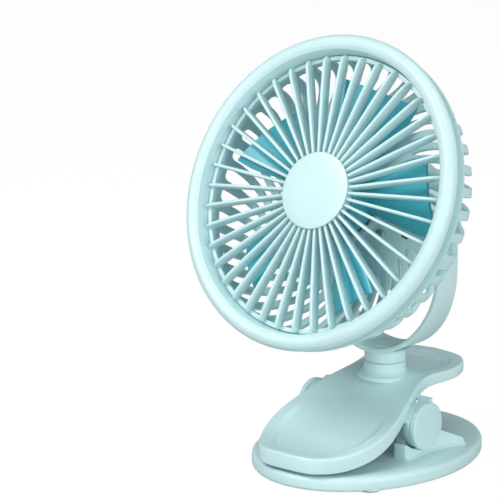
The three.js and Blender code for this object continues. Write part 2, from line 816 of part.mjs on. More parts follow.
// ---------- yoke ----------
const POST_BOTTOM_Z = COLLAR_TOP_Z + GAP;
const YOKE_MID_Z = YOKE_BOTTOM_Z + YOKE_RISE;
const YOKE_HALF = POD_R + (YOKE_CLEARANCE + YOKE_T);
const YOKE_END_IN = YOKE_HALF - YOKE_T;
const YOKE_END_OUT = YOKE_HALF + YOKE_END_EXTRA;

// One ring of the band's section, with rounded edges, at a place on the U.
function bandRing(x, z, outX, outZ, width) {
  const ring = [];
  const edge = YOKE_T * 0.35;
  const section = [
    [-width / 2 + edge, 0],
    [width / 2 - edge, 0],
    [width / 2, edge],
    [width / 2, YOKE_T],
    [-width / 2, YOKE_T],
    [-width / 2, edge],
  ];
  for (const [y, inward] of section) {
    ring.push(new THREE.Vector3(x - outX * inward, y, z - outZ * inward));
  }
  return ring;
}

function yokeBand() {
  const rings = [];
  const straight = 3;
  for (let i = 0; i < straight; i++) {
    const z = THREE.MathUtils.lerp(TILT_Z, YOKE_MID_Z, i / straight);
    rings.push(bandRing(YOKE_HALF, z, 1, 0, YOKE_ARM_W));
  }
  const steps = 22;
  for (let i = 0; i <= steps; i++) {
    const turn = (-Math.PI * i) / steps;
    const outX = Math.cos(turn) * YOKE_RISE;
    const outZ = Math.sin(turn) * YOKE_HALF;
    const long = Math.hypot(outX, outZ);
    const wide = THREE.MathUtils.lerp(YOKE_ARM_W, YOKE_FOOT_W, Math.sin(-turn) ** 2);
    const x = YOKE_HALF * Math.cos(turn);
    const z = YOKE_MID_Z + YOKE_RISE * Math.sin(turn);
    rings.push(bandRing(x, z, outX / long, outZ / long, wide));
  }
  for (let i = 1; i <= straight; i++) {
    const z = THREE.MathUtils.lerp(YOKE_MID_Z, TILT_Z, i / straight);
    rings.push(bandRing(-YOKE_HALF, z, -1, 0, YOKE_ARM_W));
  }
  return loft(rings);
}

const BOLT_HEAD_Z = YOKE_BOTTOM_Z - 1.3;
const YOKE_CAP_Z = YOKE_BOTTOM_Z + YOKE_T - 1.2;

function yoke() {
  const end = rodX(YOKE_END_R, YOKE_END_IN, YOKE_END_OUT, 0, TILT_Z, 24);
  const post = rodZ(POST_R, POST_BOTTOM_Z, YOKE_BOTTOM_Z + 1, 0, 0, 28);
  let body = join(yokeBand(), end, mirrored(end), post);
  const hole = rodX(TILT_SCREW_R + GAP, YOKE_END_IN - 1, YOKE_END_OUT + 1, 0, TILT_Z);
  const seat = rodX(TILT_CAP_R + GAP, YOKE_END_OUT - 2, YOKE_END_OUT + 1, 0, TILT_Z, 20);
  body = cut(body, hole, mirrored(hole), seat, mirrored(seat));
  body = cut(body, rodZ(BOLT_R + GAP, POST_BOTTOM_Z - 1, YOKE_CAP_Z));
  body = cut(body, rodZ(BOLT_HEAD_R + GAP, BOLT_HEAD_Z, YOKE_CAP_Z + 1, 0, 0, 20));
  return cut(body, rodZ(YOKE_CAP_R + GAP, YOKE_CAP_Z, YOKE_CAP_Z + 8, 0, 0, 28));
}

const WASHER_TOP_Z = COLLAR_SEAT_Z - GAP;
const NUT_TOP_Z = WASHER_TOP_Z - WASHER_T - GAP;
const NUT_T = 3;
function swivelBolt() {
  const low = NUT_TOP_Z - NUT_T - 1.5;
  const head = BOLT_HEAD_Z + GAP;
  return turned(
    [
      [0, low],
      [BOLT_R, low],
      [BOLT_R, head],
      [BOLT_HEAD_R, head],
      [BOLT_HEAD_R, YOKE_CAP_Z - GAP - 0.5],
      [BOLT_HEAD_R - 0.5, YOKE_CAP_Z - GAP],
      [0, YOKE_CAP_Z - GAP],
    ],
    SMALL,
  );
}

function swivelNut() {
  const hexagon = rodZ(BOLT_HEAD_R, NUT_TOP_Z - NUT_T, NUT_TOP_Z, 0, 0, 6);
  return cut(hexagon, rodZ(BOLT_R + GAP, NUT_TOP_Z - NUT_T - 1, NUT_TOP_Z + 1));
}

function ringZ(inner, outer, z0, z1, sides) {
  return turned(
    [
      [inner, z0],
      [outer, z0],
      [outer, z1],
      [inner, z1],
      [inner, z0],
    ],
    sides,
  );
}

// ---------- head, in its own frame: +Z runs forward along the fan axis from the tilt axis ----------
const CREST = RING_AT + RING_FRONT;
const RING_REAR = RING_AT - RING_BACK;
const RING_INNER_R = RING_R - RING_BAND;
const GRILLE_OUT_R = RING_INNER_R - GAP;
const CAGE_FLANGE_R = RING_R - CAGE_INSET;
const CAGE_SHOULDER_R = RING_R - CAGE_WALL_INSET;
const GRILLE_IN_R = GRILLE_OUT_R - GRILLE_RING_T;
const GRILLE_RING_Z = RING_REAR + 1.2;
const SPOKE_FRONT = RING_AT + 0.6;
const CAGE_FRONT = RING_REAR - GAP;
const DISH_FRONT = CREST - CAGE_DEPTH - 3.5;

function bezel() {
  return turned([
    [RING_INNER_R, RING_REAR],
    [RING_R - 1.4, RING_REAR],
    [RING_R - 0.2, RING_REAR + 3],
    [RING_R, RING_AT],
    [RING_R - 1.1, RING_AT + 2.5],
    [RING_R - 3.7, CREST],
    [RING_R - 5.6, CREST - 0.4],
    [RING_INNER_R + 1.4, RING_AT + 1.6],
    [RING_INNER_R, RING_REAR + 3],
    [RING_INNER_R, RING_REAR],
  ]);
}

// One grille spoke: a blade on edge, from the hub out over the grille ring.
function spoke() {
  const thick = SPOKE_W / 2;
  const hubFront = SPOKE_FRONT + 0.9;
  const stops = [
    [HUB_R - 2.5, hubFront, SPOKE_DEPTH],
    [GRILLE_IN_R - 6, SPOKE_FRONT + 0.3, SPOKE_DEPTH],
    [GRILLE_OUT_R - 1.6, SPOKE_FRONT - 1.1, SPOKE_DEPTH - 1.5],
    [GRILLE_OUT_R - 0.4, SPOKE_FRONT - 3.2, SPOKE_DEPTH - 3],
  ];
  const rings = stops.map(([r, front, deep]) => [
    new THREE.Vector3(r, 0, front),
    new THREE.Vector3(r, thick, front - SPOKE_W * 0.4),
    new THREE.Vector3(r, thick * 0.8, front - deep),
    new THREE.Vector3(r, -thick * 0.8, front - deep),
    new THREE.Vector3(r, -thick, front - SPOKE_W * 0.4),
  ]);
  return loft(rings);
}

function grille() {
  const ring = ringZ(GRILLE_IN_R, GRILLE_OUT_R, GRILLE_RING_Z, GRILLE_RING_Z + GRILLE_RING_DEPTH, ROUND);
  const hub = turned(
    [
      [0, SPOKE_FRONT - SPOKE_DEPTH + 1],
      [HUB_R - 1, SPOKE_FRONT - SPOKE_DEPTH + 1],
      [HUB_R - 1, SPOKE_FRONT + 0.6],
      [0, SPOKE_FRONT + 0.6],
    ],
    MEDIUM,
  );
  let body = join(ring, hub);
  const blade = spoke();
  for (let i = 0; i < SPOKES; i++) {
    body = join(body, blade.rotate([0, 0, (i * 360) / SPOKES + 4.5]));
  }
  const seat = rodZ(HUB_R - 2, HUB_CAP_Z, CREST + 2, 0, 0, MEDIUM);
  return cut(body, seat);
}

const HUB_CAP_Z = SPOKE_FRONT - 0.2;
function hubCap() {
  const back = HUB_CAP_Z + GAP;
  const face = back + HUB_CAP_T;
  return turned(
    [
      [0, back],
      [HUB_R - 2 - GAP, back],
      [HUB_R - 2 - GAP, back + 1.1 + GAP],
      [HUB_R, back + 1.1 + GAP],
      [HUB_R - 0.8, face + 0.4],
      [HUB_R - 6, face + 0.9],
      [0, face + 1.1],
    ],
    MEDIUM,
  );
}

// One rear rib: a flat strip from the flange, back along the wall, round the shoulder and
// inwards to the dish, swirling as it goes.
function cageRib() {
  const back = DISH_FRONT - DISH_T / 2;
  const stops = [
    [CAGE_FLANGE_R - 3.4, CAGE_FRONT - CAGE_FLANGE_T * 0.5, 0, 0, 1],
    [CAGE_SHOULDER_R + 0.9, back + 8.2, 0.05, 0.3, 1],
    [CAGE_SHOULDER_R - 1.2, back + 4, 0.09, 0.75, 0.8],
    [CAGE_SHOULDER_R - 7, back + 0.7, 0.25, 1, 0.2],
    [DISH_R - 1, back, 1, 1, 0],
  ];
  const rings = stops.map(([r, z, share, backward, outward]) => {
    const turn = THREE.MathUtils.degToRad(CAGE_SWIRL_DEG * share);
    const centre = new THREE.Vector3(r * Math.cos(turn), r * Math.sin(turn), z);
    const radial = new THREE.Vector3(Math.cos(turn), Math.sin(turn), 0);
    const around = new THREE.Vector3(-Math.sin(turn), Math.cos(turn), 0);
    const out = radial.clone().multiplyScalar(outward);
    out.z = -backward;
    out.normalize();
    const half = CAGE_RIB_W / 2;
    const thin = CAGE_RIB_T / 2;
    return [
      [-half, -thin],
      [half, -thin],
      [half, thin],
      [-half, thin],
    ].map(([a, b]) => centre.clone().addScaledVector(around, a).addScaledVector(out, b));
  });
  return loft(rings);
}

// The broad arm that ties the dish to the flange on one side.
function cageWing() {
  const back = DISH_FRONT - DISH_T / 2;
  const stops = [
    [DISH_R - 1, back, 0],
    [CAGE_SHOULDER_R - 6, back + 0.6, 0.2],
    [CAGE_SHOULDER_R - 1.4, back + 4, 0.8],
    [CAGE_SHOULDER_R + 1, back + 9, 1],
    [CAGE_FLANGE_R - 3.6, CAGE_FRONT - CAGE_FLANGE_T * 0.5, 1],
  ];
  const rings = stops.map(([r, z, outward]) => {
    const across = (CAGE_RIB_T / 2) * outward;
    const deep = (CAGE_RIB_T / 2) * (1 - outward);
    return [
      new THREE.Vector3(r - across, -WING_W / 2, z + deep),
      new THREE.Vector3(r - across, WING_W / 2, z + deep),
      new THREE.Vector3(r + across, WING_W / 2, z - deep),
      new THREE.Vector3(r + across, -WING_W / 2, z - deep),
    ];
  });
  return loft(rings).rotate([0, 0, WING_DEG]);
}

function cage() {
  const flange = turned([
    [GRILLE_IN_R + 2.5, CAGE_FRONT - CAGE_FLANGE_T],
    [CAGE_FLANGE_R - 0.8, CAGE_FRONT - CAGE_FLANGE_T],
    [CAGE_FLANGE_R, CAGE_FRONT - 0.8],
    [CAGE_FLANGE_R, CAGE_FRONT],
    [GRILLE_IN_R + 2.5, CAGE_FRONT],
    [GRILLE_IN_R + 2.5, CAGE_FRONT - CAGE_FLANGE_T],
  ]);
  const dish = rodZ(DISH_R, DISH_FRONT - DISH_T, DISH_FRONT, 0, 0, MEDIUM);
  const motorSeat = ringZ(MOTOR_R + GAP, MOTOR_R + 2.4, DISH_FRONT - 1, DISH_FRONT + 2.2, 28);
  let body = join(flange, dish, motorSeat, cageWing());
  const rib = cageRib();
  for (let i = 0; i < CAGE_RIBS; i++) {
    body = join(body, rib.rotate([0, 0, (i * 360) / CAGE_RIBS + 1.5]));
  }
  const slot = box(DISH_R - 6.4, DISH_R - 2.2, -0.9, 0.9, DISH_FRONT - DISH_T - 3, DISH_FRONT + 1);
  body = cut(body, slot.rotate([0, 0, WING_DEG]));
  for (const deg of CAGE_SCREW_DEG) {
    const [x, y] = polar(CAGE_SCREW_AT, deg);
    body = cut(body, rodZ(SCREW_R + GAP, DISH_FRONT - DISH_T - 3, DISH_FRONT + 2, x, y, TINY));
  }
  return body;
}

function polar(radius, deg) {
  const turn = THREE.MathUtils.degToRad(deg);
  return [radius * Math.cos(turn), radius * Math.sin(turn)];
}

const CAGE_SCREW_AT = MOTOR_R + 8;
const CAGE_SCREW_DEG = [90, 210, 330];
const COVER_SCREW_DEG = [45, 135, 225, 315];

// ---------- pod behind the cage ----------
const POD_FRONT = DISH_FRONT - DISH_T - GAP;
const POD_FLOOR = POD_FRONT - POD_WALL;

function podBody() {
  const inner = POD_R - POD_WALL;
  let body = turned(
    [
      [0, POD_FLOOR],
      [inner, POD_FLOOR],
      [inner, POD_BACK],
      [POD_R, POD_BACK],
      [POD_R, POD_FRONT - 1],
      [POD_R - 1, POD_FRONT],
      [0, POD_FRONT],
    ],
    MEDIUM,
  );
  const bossEnd = YOKE_END_IN - GAP;
  const boss = rodX(YOKE_END_R - 1, POD_R - 6, bossEnd, 0, 0, 20);
  body = join(body, boss, mirrored(boss));
  body = cut(body, rodZ(POD_R + 2, POD_BACK - 6, POD_BACK, 0, 0, MEDIUM));
  for (const deg of COVER_SCREW_DEG) {
    const [x, y] = polar(COVER_SCREW_AT, deg);
    body = join(body, rodZ(SCREW_R + 2.2, POD_BACK + GAP, POD_FLOOR + 1, x, y, 12));
  }
  for (const [x, y] of boardPosts()) {
    body = join(body, rodZ(2.2, BOARD_AT + BOARD_T + GAP, POD_FLOOR + 1, x, y, TINY));
  }
  for (const deg of COVER_SCREW_DEG) {
    const [x, y] = polar(COVER_SCREW_AT, deg);
    body = cut(body, rodZ(SCREW_R + GAP, POD_BACK - 1, POD_BACK + 9, x, y, TINY));
  }
  for (const deg of CAGE_SCREW_DEG) {
    const [x, y] = polar(CAGE_SCREW_AT, deg);
    body = cut(body, rodZ(SCREW_R + GAP, POD_FLOOR - 1, POD_FRONT + 1, x, y, TINY));
  }
  const pilot = rodX(TILT_SCREW_R + GAP, POD_R - 7, bossEnd + 1, 0, 0, 12);
  return cut(body, pilot, mirrored(pilot));
}

function boardPosts() {
  return [-1, 1].map((side) => [side * (BOARD_HALF_X - 3), CELL_HALF_Y + 3.5]).concat(
    [-1, 1].map((side) => [side * (BOARD_HALF_X - 3), -CELL_HALF_Y - 3.5]),
  );
}

const COVER_BACK = POD_BACK - COVER_T;
function podCover() {
  const front = POD_BACK - GAP;
  let body = turned(
    [
      [0, COVER_BACK],
      [POD_R - 6, COVER_BACK],
      [POD_R - 2.6, COVER_BACK + 0.8],
      [POD_R, COVER_BACK + 2.6],
      [POD_R, front],
      [POD_R - POD_WALL, front],
      [POD_R - POD_WALL - 1.4, COVER_BACK + 2.2],
      [0, COVER_BACK + 2.2],
    ],
    MEDIUM,
  );
  for (const deg of COVER_SCREW_DEG) {
    const [x, y] = polar(COVER_SCREW_AT, deg);
    body = join(body, rodZ(SCREW_HEAD_R + 1.2, COVER_BACK + 1, front, x, y, 12));
    body = cut(body, rodZ(SCREW_R + GAP, COVER_BACK - 1, front + 1, x, y, TINY));
    body = cut(body, rodZ(SCREW_HEAD_R + GAP, COVER_BACK - 1, SCREW_SEAT, x, y, 12));
  }
  body = cut(body, rodZ(BUTTON_R + GAP, COVER_BACK - 1, front + 1, 0, 0, 28));
  body = cut(body, rodZ(LENS_R + GAP, COVER_BACK - 1, front + 1, 0, LENS_Y, TINY));
  const wideUsb = USB_HALF_W + GAP;
  const highUsb = USB_HALF_H + GAP;
  const port = box(-wideUsb, wideUsb, USB_Y - highUsb, USB_Y + highUsb, COVER_BACK - 1, front + 1);
  return cut(body, port);
}

const SCREW_SEAT = COVER_BACK + SCREW_HEAD_T + 0.4;

// A pan-head screw whose head faces -Z (out of the back), with its seat plane given.
function screwBack(x, y, seat, length) {
  const made = turned(
    [
      [0, seat - GAP - SCREW_HEAD_T],
      [SCREW_HEAD_R - 0.5, seat - GAP - SCREW_HEAD_T],
      [SCREW_HEAD_R, seat - GAP],
      [SCREW_R, seat - GAP],
      [SCREW_R, seat + length],
      [0, seat + length],
    ],
    TINY,
  );
  return made.translate([x, y, 0]);
}

function screwFront(x, y, seat, length) {
  const made = turned(
    [
      [0, seat - length],
      [SCREW_R, seat - length],
      [SCREW_R, seat + GAP],
      [SCREW_HEAD_R, seat + GAP],
      [SCREW_HEAD_R - 0.5, seat + GAP + SCREW_HEAD_T],
      [0, seat + GAP + SCREW_HEAD_T],
    ],
    TINY,
  );
  return made.translate([x, y, 0]);
}

function tiltScrew() {
  const seat = YOKE_END_OUT - 2 + GAP;
  return turnedX(
    [
      [0, POD_R - 6.5],
      [TILT_SCREW_R, POD_R - 6.5],
      [TILT_SCREW_R, seat],
      [TILT_HEAD_R, seat],
      [TILT_HEAD_R, seat + 0.7],
      [TILT_HEAD_R - 0.5, seat + 1],
      [0, seat + 1],
    ],
    0,
    0,
    SMALL,
  );
}

function tiltCap() {
  const face = YOKE_END_OUT - 2 + GAP + 1 + GAP;
  return turnedX(
    [
      [0, face],
      [TILT_CAP_R, face],
      [TILT_CAP_R, YOKE_END_OUT + 0.2],
      [TILT_CAP_R - 0.6, YOKE_END_OUT + 0.6],
      [0, YOKE_END_OUT + 0.8],
    ],
    0,
    TILT_Z,
    24,
  );
}

// ---------- drive ----------
const IMPELLER_FRONT = BLADE_AT + IMPELLER_HUB_DEPTH * 0.6;
const IMPELLER_BACK = IMPELLER_FRONT - IMPELLER_HUB_DEPTH;
const MOTOR_BACK = DISH_FRONT + GAP;

// One paddle blade: a cambered plate whose pitch eases off towards a straight-cut tip.
function blade() {
  const stops = [
    [IMPELLER_HUB_R - 1.5, 15, 46],
    [IMPELLER_HUB_R + 6, 21, 41],
    [IMPELLER_HUB_R + 16, 29, 35],
    [IMPELLER_HUB_R + 26, 36, 30],
    [BLADE_TIP, 40, 27],
  ];
  const shares = [-0.5, -0.2, 0.15, 0.5];
  const rings = stops.map(([r, chord, pitch]) => {
    const turn = THREE.MathUtils.degToRad(pitch);
    const ring = [];
    for (const side of [1, -1]) {
      const order = side > 0 ? shares : [...shares].reverse();
      for (const share of order) {
        const along = share * chord;
        const camber = 0.09 * chord * (1 - 4 * share * share);
        const half = (BLADE_T / 2) * (1 - 0.5 * Math.abs(share) * 2) + 0.15;
        const off = camber + side * half;
        const y = along * Math.cos(turn) - off * Math.sin(turn);
        const z = along * Math.sin(turn) + off * Math.cos(turn);
        ring.push(new THREE.Vector3(r, y, BLADE_AT + z));
      }
    }
    return ring;
  });
  return loft(rings);
}

function impeller() {
  const inner = IMPELLER_HUB_R - 1.6;
  let body = turned(
    [
      [0, IMPELLER_FRONT - 2],
      [inner, IMPELLER_FRONT - 2],
      [inner, IMPELLER_BACK],
      [IMPELLER_HUB_R, IMPELLER_BACK],
      [IMPELLER_HUB_R, IMPELLER_FRONT - 2],
      [IMPELLER_HUB_R - 1, IMPELLER_FRONT - 0.6],
      [IMPELLER_HUB_R - 4, IMPELLER_FRONT],
      [0, IMPELLER_FRONT + 0.4],
    ],
    MEDIUM,
  );
  const bush = rodZ(SHAFT_R + 2, MOTOR_BACK + MOTOR_L + RUN, IMPELLER_FRONT - 1, 0, 0, SMALL);
  body = join(body, bush);
  const one = blade();
  for (let i = 0; i < BLADES; i++) {
    body = join(body, one.rotate([0, 0, (i * 360) / BLADES + BLADE_TURN_DEG]));
  }
  const void1 = ringZ(SHAFT_R + 2.4, inner, IMPELLER_BACK - 1, IMPELLER_FRONT - 2, MEDIUM);
  body = cut(body, void1);
  return cut(body, rodZ(SHAFT_R + GAP, IMPELLER_BACK - 1, IMPELLER_FRONT - 1.4, 0, 0, 12));
}

function motor() {
  const front = MOTOR_BACK + MOTOR_L;
  const body = turned(
    [
      [0, MOTOR_BACK],
      [MOTOR_R, MOTOR_BACK],
      [MOTOR_R, front - 1.2],
      [MOTOR_R - 1.2, front],
      [4.5, front],
      [4.5, front + 0.2],
      [0, front + 0.2],
    ],
    28,
  );
  return cut(body, rodZ(SHAFT_R + GAP, MOTOR_BACK + 1, front + 1, 0, 0, 12));
}

// The ends of the axle stop just short of the cap spigots.
const AXLE_END_X = EAR_OUT_X - CAP_SPIGOT_L;

function yokeCover() {
  return turned(
    [
      [0, YOKE_CAP_Z + GAP],
      [YOKE_CAP_R, YOKE_CAP_Z + GAP],
      [YOKE_CAP_R, YOKE_CAP_Z + GAP + 0.9],
      [YOKE_CAP_R - 0.4, YOKE_CAP_Z + GAP + 1.3],
      [0, YOKE_CAP_Z + GAP + 1.3],
    ],
    28,
  );
}

function cell(top) {
  return box(-CELL_HALF_X, CELL_HALF_X, -CELL_HALF_Y, CELL_HALF_Y, top - CELL_T, top);
}

function board() {
  const top = BOARD_AT + BOARD_T;
  return box(-BOARD_HALF_X, BOARD_HALF_X, -BOARD_HALF_Y, BOARD_HALF_Y, BOARD_AT, top);
}

const SWITCH_TIP = POD_BACK + BUTTON_FLANGE + BUTTON_TRAVEL + GAP;
function buttonSwitch() {
  return join(
    box(-3, 3, -3, 3, SWITCH_TIP + 1.5, BOARD_AT - GAP),
    rodZ(1.7, SWITCH_TIP, SWITCH_TIP + 2, 0, 0, 12),
  );
}

function usbSocket() {
  const shell = box(
    -USB_HALF_W,
    USB_HALF_W,
    USB_Y - USB_HALF_H,
    USB_Y + USB_HALF_H,
    COVER_BACK + 0.4,
    BOARD_AT - GAP,
  );
  const mouth = box(
    -USB_HALF_W + 0.5,
    USB_HALF_W - 0.5,
    USB_Y - USB_HALF_H + 0.5,
    USB_Y + USB_HALF_H - 0.5,
    COVER_BACK - 1,
    COVER_BACK + 6,
  );
  return cut(shell, mouth);
}

function powerButton() {
  const flange = POD_BACK;
  return turned(
    [
      [0, COVER_BACK - BUTTON_PROUD],
      [BUTTON_R - 0.9, COVER_BACK - BUTTON_PROUD],
      [BUTTON_R, COVER_BACK - BUTTON_PROUD + 0.8],
      [BUTTON_R, flange],
      [BUTTON_R + 1.2, flange],
      [BUTTON_R + 1.2, flange + BUTTON_FLANGE],
      [0, flange + BUTTON_FLANGE],
    ],
    28,
  );
}

// ---------- assembly ----------
const clipFan = new THREE.Group();
const model = new THREE.Group();
const head = new THREE.Group();
clipFan.add(model);
model.add(head);
head.position.set(0, 0, TILT_Z);
head.rotation.x = THREE.MathUtils.degToRad(90 - TILT_DEG);

named("base_plate", base(), MINT, model);
for (const [place, sideX, sideY] of FOOT_PLACES) {
  const x = sideX * FOOT_SPREAD_X;
  const y = BASE_CENTRE_Y + sideY * FOOT_SPREAD_Y;
  named("rubber_foot_" + place, foot(x, y), RUBBER, model);
}
named("lower_jaw_pad", plateZ(padOutline(), BASE_TOP_Z + GAP, PAD_Z), PAD, model);
named("clip_axle", rodX(AXLE_R, -AXLE_END_X, AXLE_END_X, PIVOT_Y, PIVOT_Z, SMALL), STEEL, model);
named("spring_sleeve", sleeve(), SLEEVE, model);
named("torsion_spring", springBody(), STEEL, model);

named("clip_lever", lever(), MINT, model);
named("upper_jaw_pad", plateZ(padOutline(), PAD_Z + GAP, PAD_Z + GAP + PAD_T), PAD, model);
named("pivot_cap_right", pivotCap(), MINT, model);
named("pivot_cap_left", mirrored(pivotCap()), MINT, model);
const washer = ringZ(BOLT_R + GAP, WASHER_R, WASHER_TOP_Z - WASHER_T, WASHER_TOP_Z, 20);
named("swivel_washer", washer, STEEL, model);

named("yoke", yoke(), MINT, model);
named("swivel_bolt", swivelBolt(), STEEL, model);
named("swivel_nut", swivelNut(), STEEL, model);
named("yoke_screw_cover", yokeCover(), MINT, model);
named("tilt_cap_right", tiltCap(), MINT, model);
named("tilt_cap_left", mirrored(tiltCap()), MINT, model);

named("front_bezel", bezel(), MINT, head);
named("front_grille", grille(), MINT, head);
named("grille_hub_cap", hubCap(), MINT, head);
named("rear_cage", cage(), MINT, head);
named("motor_pod", podBody(), MINT, head);
named("pod_cover", podCover(), MINT, head);
named("motor", motor(), STEEL, head);
const cellTop = POD_FLOOR - GAP;
named("battery_cell", cell(cellTop), CELL, head);
named("control_board", board(), BOARD, head);
named("button_switch", buttonSwitch(), STEEL, head);
named("usb_socket", usbSocket(), STEEL, head);
named("charge_light_lens", rodZ(LENS_R, COVER_BACK + 0.2, BOARD_AT - GAP, 0, LENS_Y, TINY), LENS, head);
COVER_SCREW_DEG.forEach((deg, i) => {
  const [x, y] = polar(COVER_SCREW_AT, deg);
  named("cover_screw_" + (i + 1), screwBack(x, y, SCREW_SEAT, 8), STEEL, head);
});
CAGE_SCREW_DEG.forEach((deg, i) => {
  const [x, y] = polar(CAGE_SCREW_AT, deg);
  named("cage_screw_" + (i + 1), screwFront(x, y, DISH_FRONT, 5), STEEL, head);
});
named("tilt_screw_right", tiltScrew(), STEEL, head);
named("tilt_screw_left", mirrored(tiltScrew()), STEEL, head);
named("power_button", powerButton(), MINT_DARK, head);

named("impeller", impeller(), TEAL, head);
named("motor_shaft", rodZ(SHAFT_R, MOTOR_BACK + 1 + GAP, IMPELLER_FRONT - 1.4 - GAP, 0, 0, 12), STEEL, head);

// The finished model stands with the middle of its footprint on the origin.
clipFan.updateMatrixWorld(true);
const bounds = new THREE.Box3().setFromObject(clipFan, true);
const shiftX = -(bounds.min.x + bounds.max.x) / 2;
const shiftY = -(bounds.min.y + bounds.max.y) / 2;
model.position.set(shiftX, shiftY, 0);
console.log("model is shifted by y = " + shiftY.toFixed(3) + " mm");
export default clipFan;
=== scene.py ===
import math

import bmesh
import bpy
from mathutils import Matrix, Vector

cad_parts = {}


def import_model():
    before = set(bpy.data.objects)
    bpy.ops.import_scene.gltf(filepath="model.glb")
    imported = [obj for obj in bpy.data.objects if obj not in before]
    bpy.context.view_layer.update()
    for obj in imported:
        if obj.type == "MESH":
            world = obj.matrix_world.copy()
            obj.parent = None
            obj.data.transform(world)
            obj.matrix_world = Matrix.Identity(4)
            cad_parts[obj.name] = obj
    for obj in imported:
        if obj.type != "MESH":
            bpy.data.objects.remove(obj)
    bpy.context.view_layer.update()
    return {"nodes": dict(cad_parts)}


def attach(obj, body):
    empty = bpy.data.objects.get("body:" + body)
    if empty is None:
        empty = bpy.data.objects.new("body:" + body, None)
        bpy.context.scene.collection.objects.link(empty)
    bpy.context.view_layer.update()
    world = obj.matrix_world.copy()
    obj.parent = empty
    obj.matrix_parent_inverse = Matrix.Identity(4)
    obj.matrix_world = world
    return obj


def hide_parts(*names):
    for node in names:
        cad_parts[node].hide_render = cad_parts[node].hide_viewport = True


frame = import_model()

MM = 0.001
SHIFT = 17.187
TILT_Z = 115.3
TILT = math.radians(22.5)
TAU = 2 * math.pi

CLIP = Matrix.Translation((0, SHIFT * MM, 0)) @ Matrix.Scale(MM, 4)
HEAD = (
    Matrix.Translation((0, SHIFT * MM, TILT_Z * MM))
    @ Matrix.Rotation(math.pi / 2 - TILT, 4, "X")
    @ Matrix.Scale(MM, 4)
)


# ---------------------------------------------------------------- small maths
def lerp(a, b, t):
    return a + (b - a) * t


def step(a, b, x):
    t = min(max((x - a) / (b - a), 0), 1)
    return t * t * (3 - 2 * t)


def polar(r, turn):
    return r * math.cos(turn), r * math.sin(turn)


def rect(x0, x1, y0, y1):
    """The four corners of a rectangle."""
    return [(x0, y0), (x1, y0), (x1, y1), (x0, y1)]


def spline(points, count):
    """Points on a smooth curve through the given ones, evenly spread in parameter."""
    out = []
    last = len(points) - 1
    for i in range(count + 1):
        t = last * i / count
        k = min(int(t), last - 1)
        f = t - k
        p = [points[min(max(k + d, 0), last)] for d in (-1, 0, 1, 2)]
        out.append(
            tuple(
                0.5
                * (
                    2 * b
                    + (c - a) * f
                    + (2 * a - 5 * b + 4 * c - d) * f * f
                    + (3 * b - a - 3 * c + d) * f * f * f
                )
                for a, b, c, d in zip(*p)
            )
        )
    return out


def rounded(points, radius, steps=3, closed=True):
    """A polyline whose corners are rounded. A radius may be given for each corner."""
    out = []
    n = len(points)
    for i, p in enumerate(points):
        r = radius[i] if isinstance(radius, (list, tuple)) else radius
        if r <= 0 or (not closed and i in (0, n - 1)):
            out.append(tuple(p))
            continue
        p0, p1, p2 = (Vector(points[(i + d) % n]) for d in (-1, 0, 1))
        a, b = p0 - p1, p2 - p1
        cut = min(r, a.length * 0.49, b.length * 0.49)
        s, e = p1 + a.normalized() * cut, p1 + b.normalized() * cut
        for k in range(steps + 1):
            t = k / steps
            q = s * (1 - t) ** 2 + p1 * 2 * t * (1 - t) + e * t * t
            out.append(tuple(q))
    return out


# ---------------------------------------------------------------- mesh making
ON_AXIS = 1e-6  # a smaller radius counts as a point on the axis
WELD, SLIVER = 2e-6, 1e-7  # metres
BEVEL_FROM = math.radians(40)
AROUND_X = Matrix.Rotation(math.pi / 2, 4, "Y")  # turns z to +x
SIDES = (("right", 1), ("left", -1))


def flipped(side):
    """Mirrors what is built on the right to the left, for a side of -1."""
    return Matrix.Scale(side, 4, (1, 0, 0))


def sideways(side, y=0.0, z=0.0):
    """Lays the z axis outwards along x, from a point in the middle plane."""
    return Matrix.Translation((0, y, z)) @ flipped(side) @ AROUND_X


def spun(degrees):
    return Matrix.Rotation(math.radians(degrees), 4, "Z")


def moved(x, y):
    return Matrix.Translation((x, y, 0))


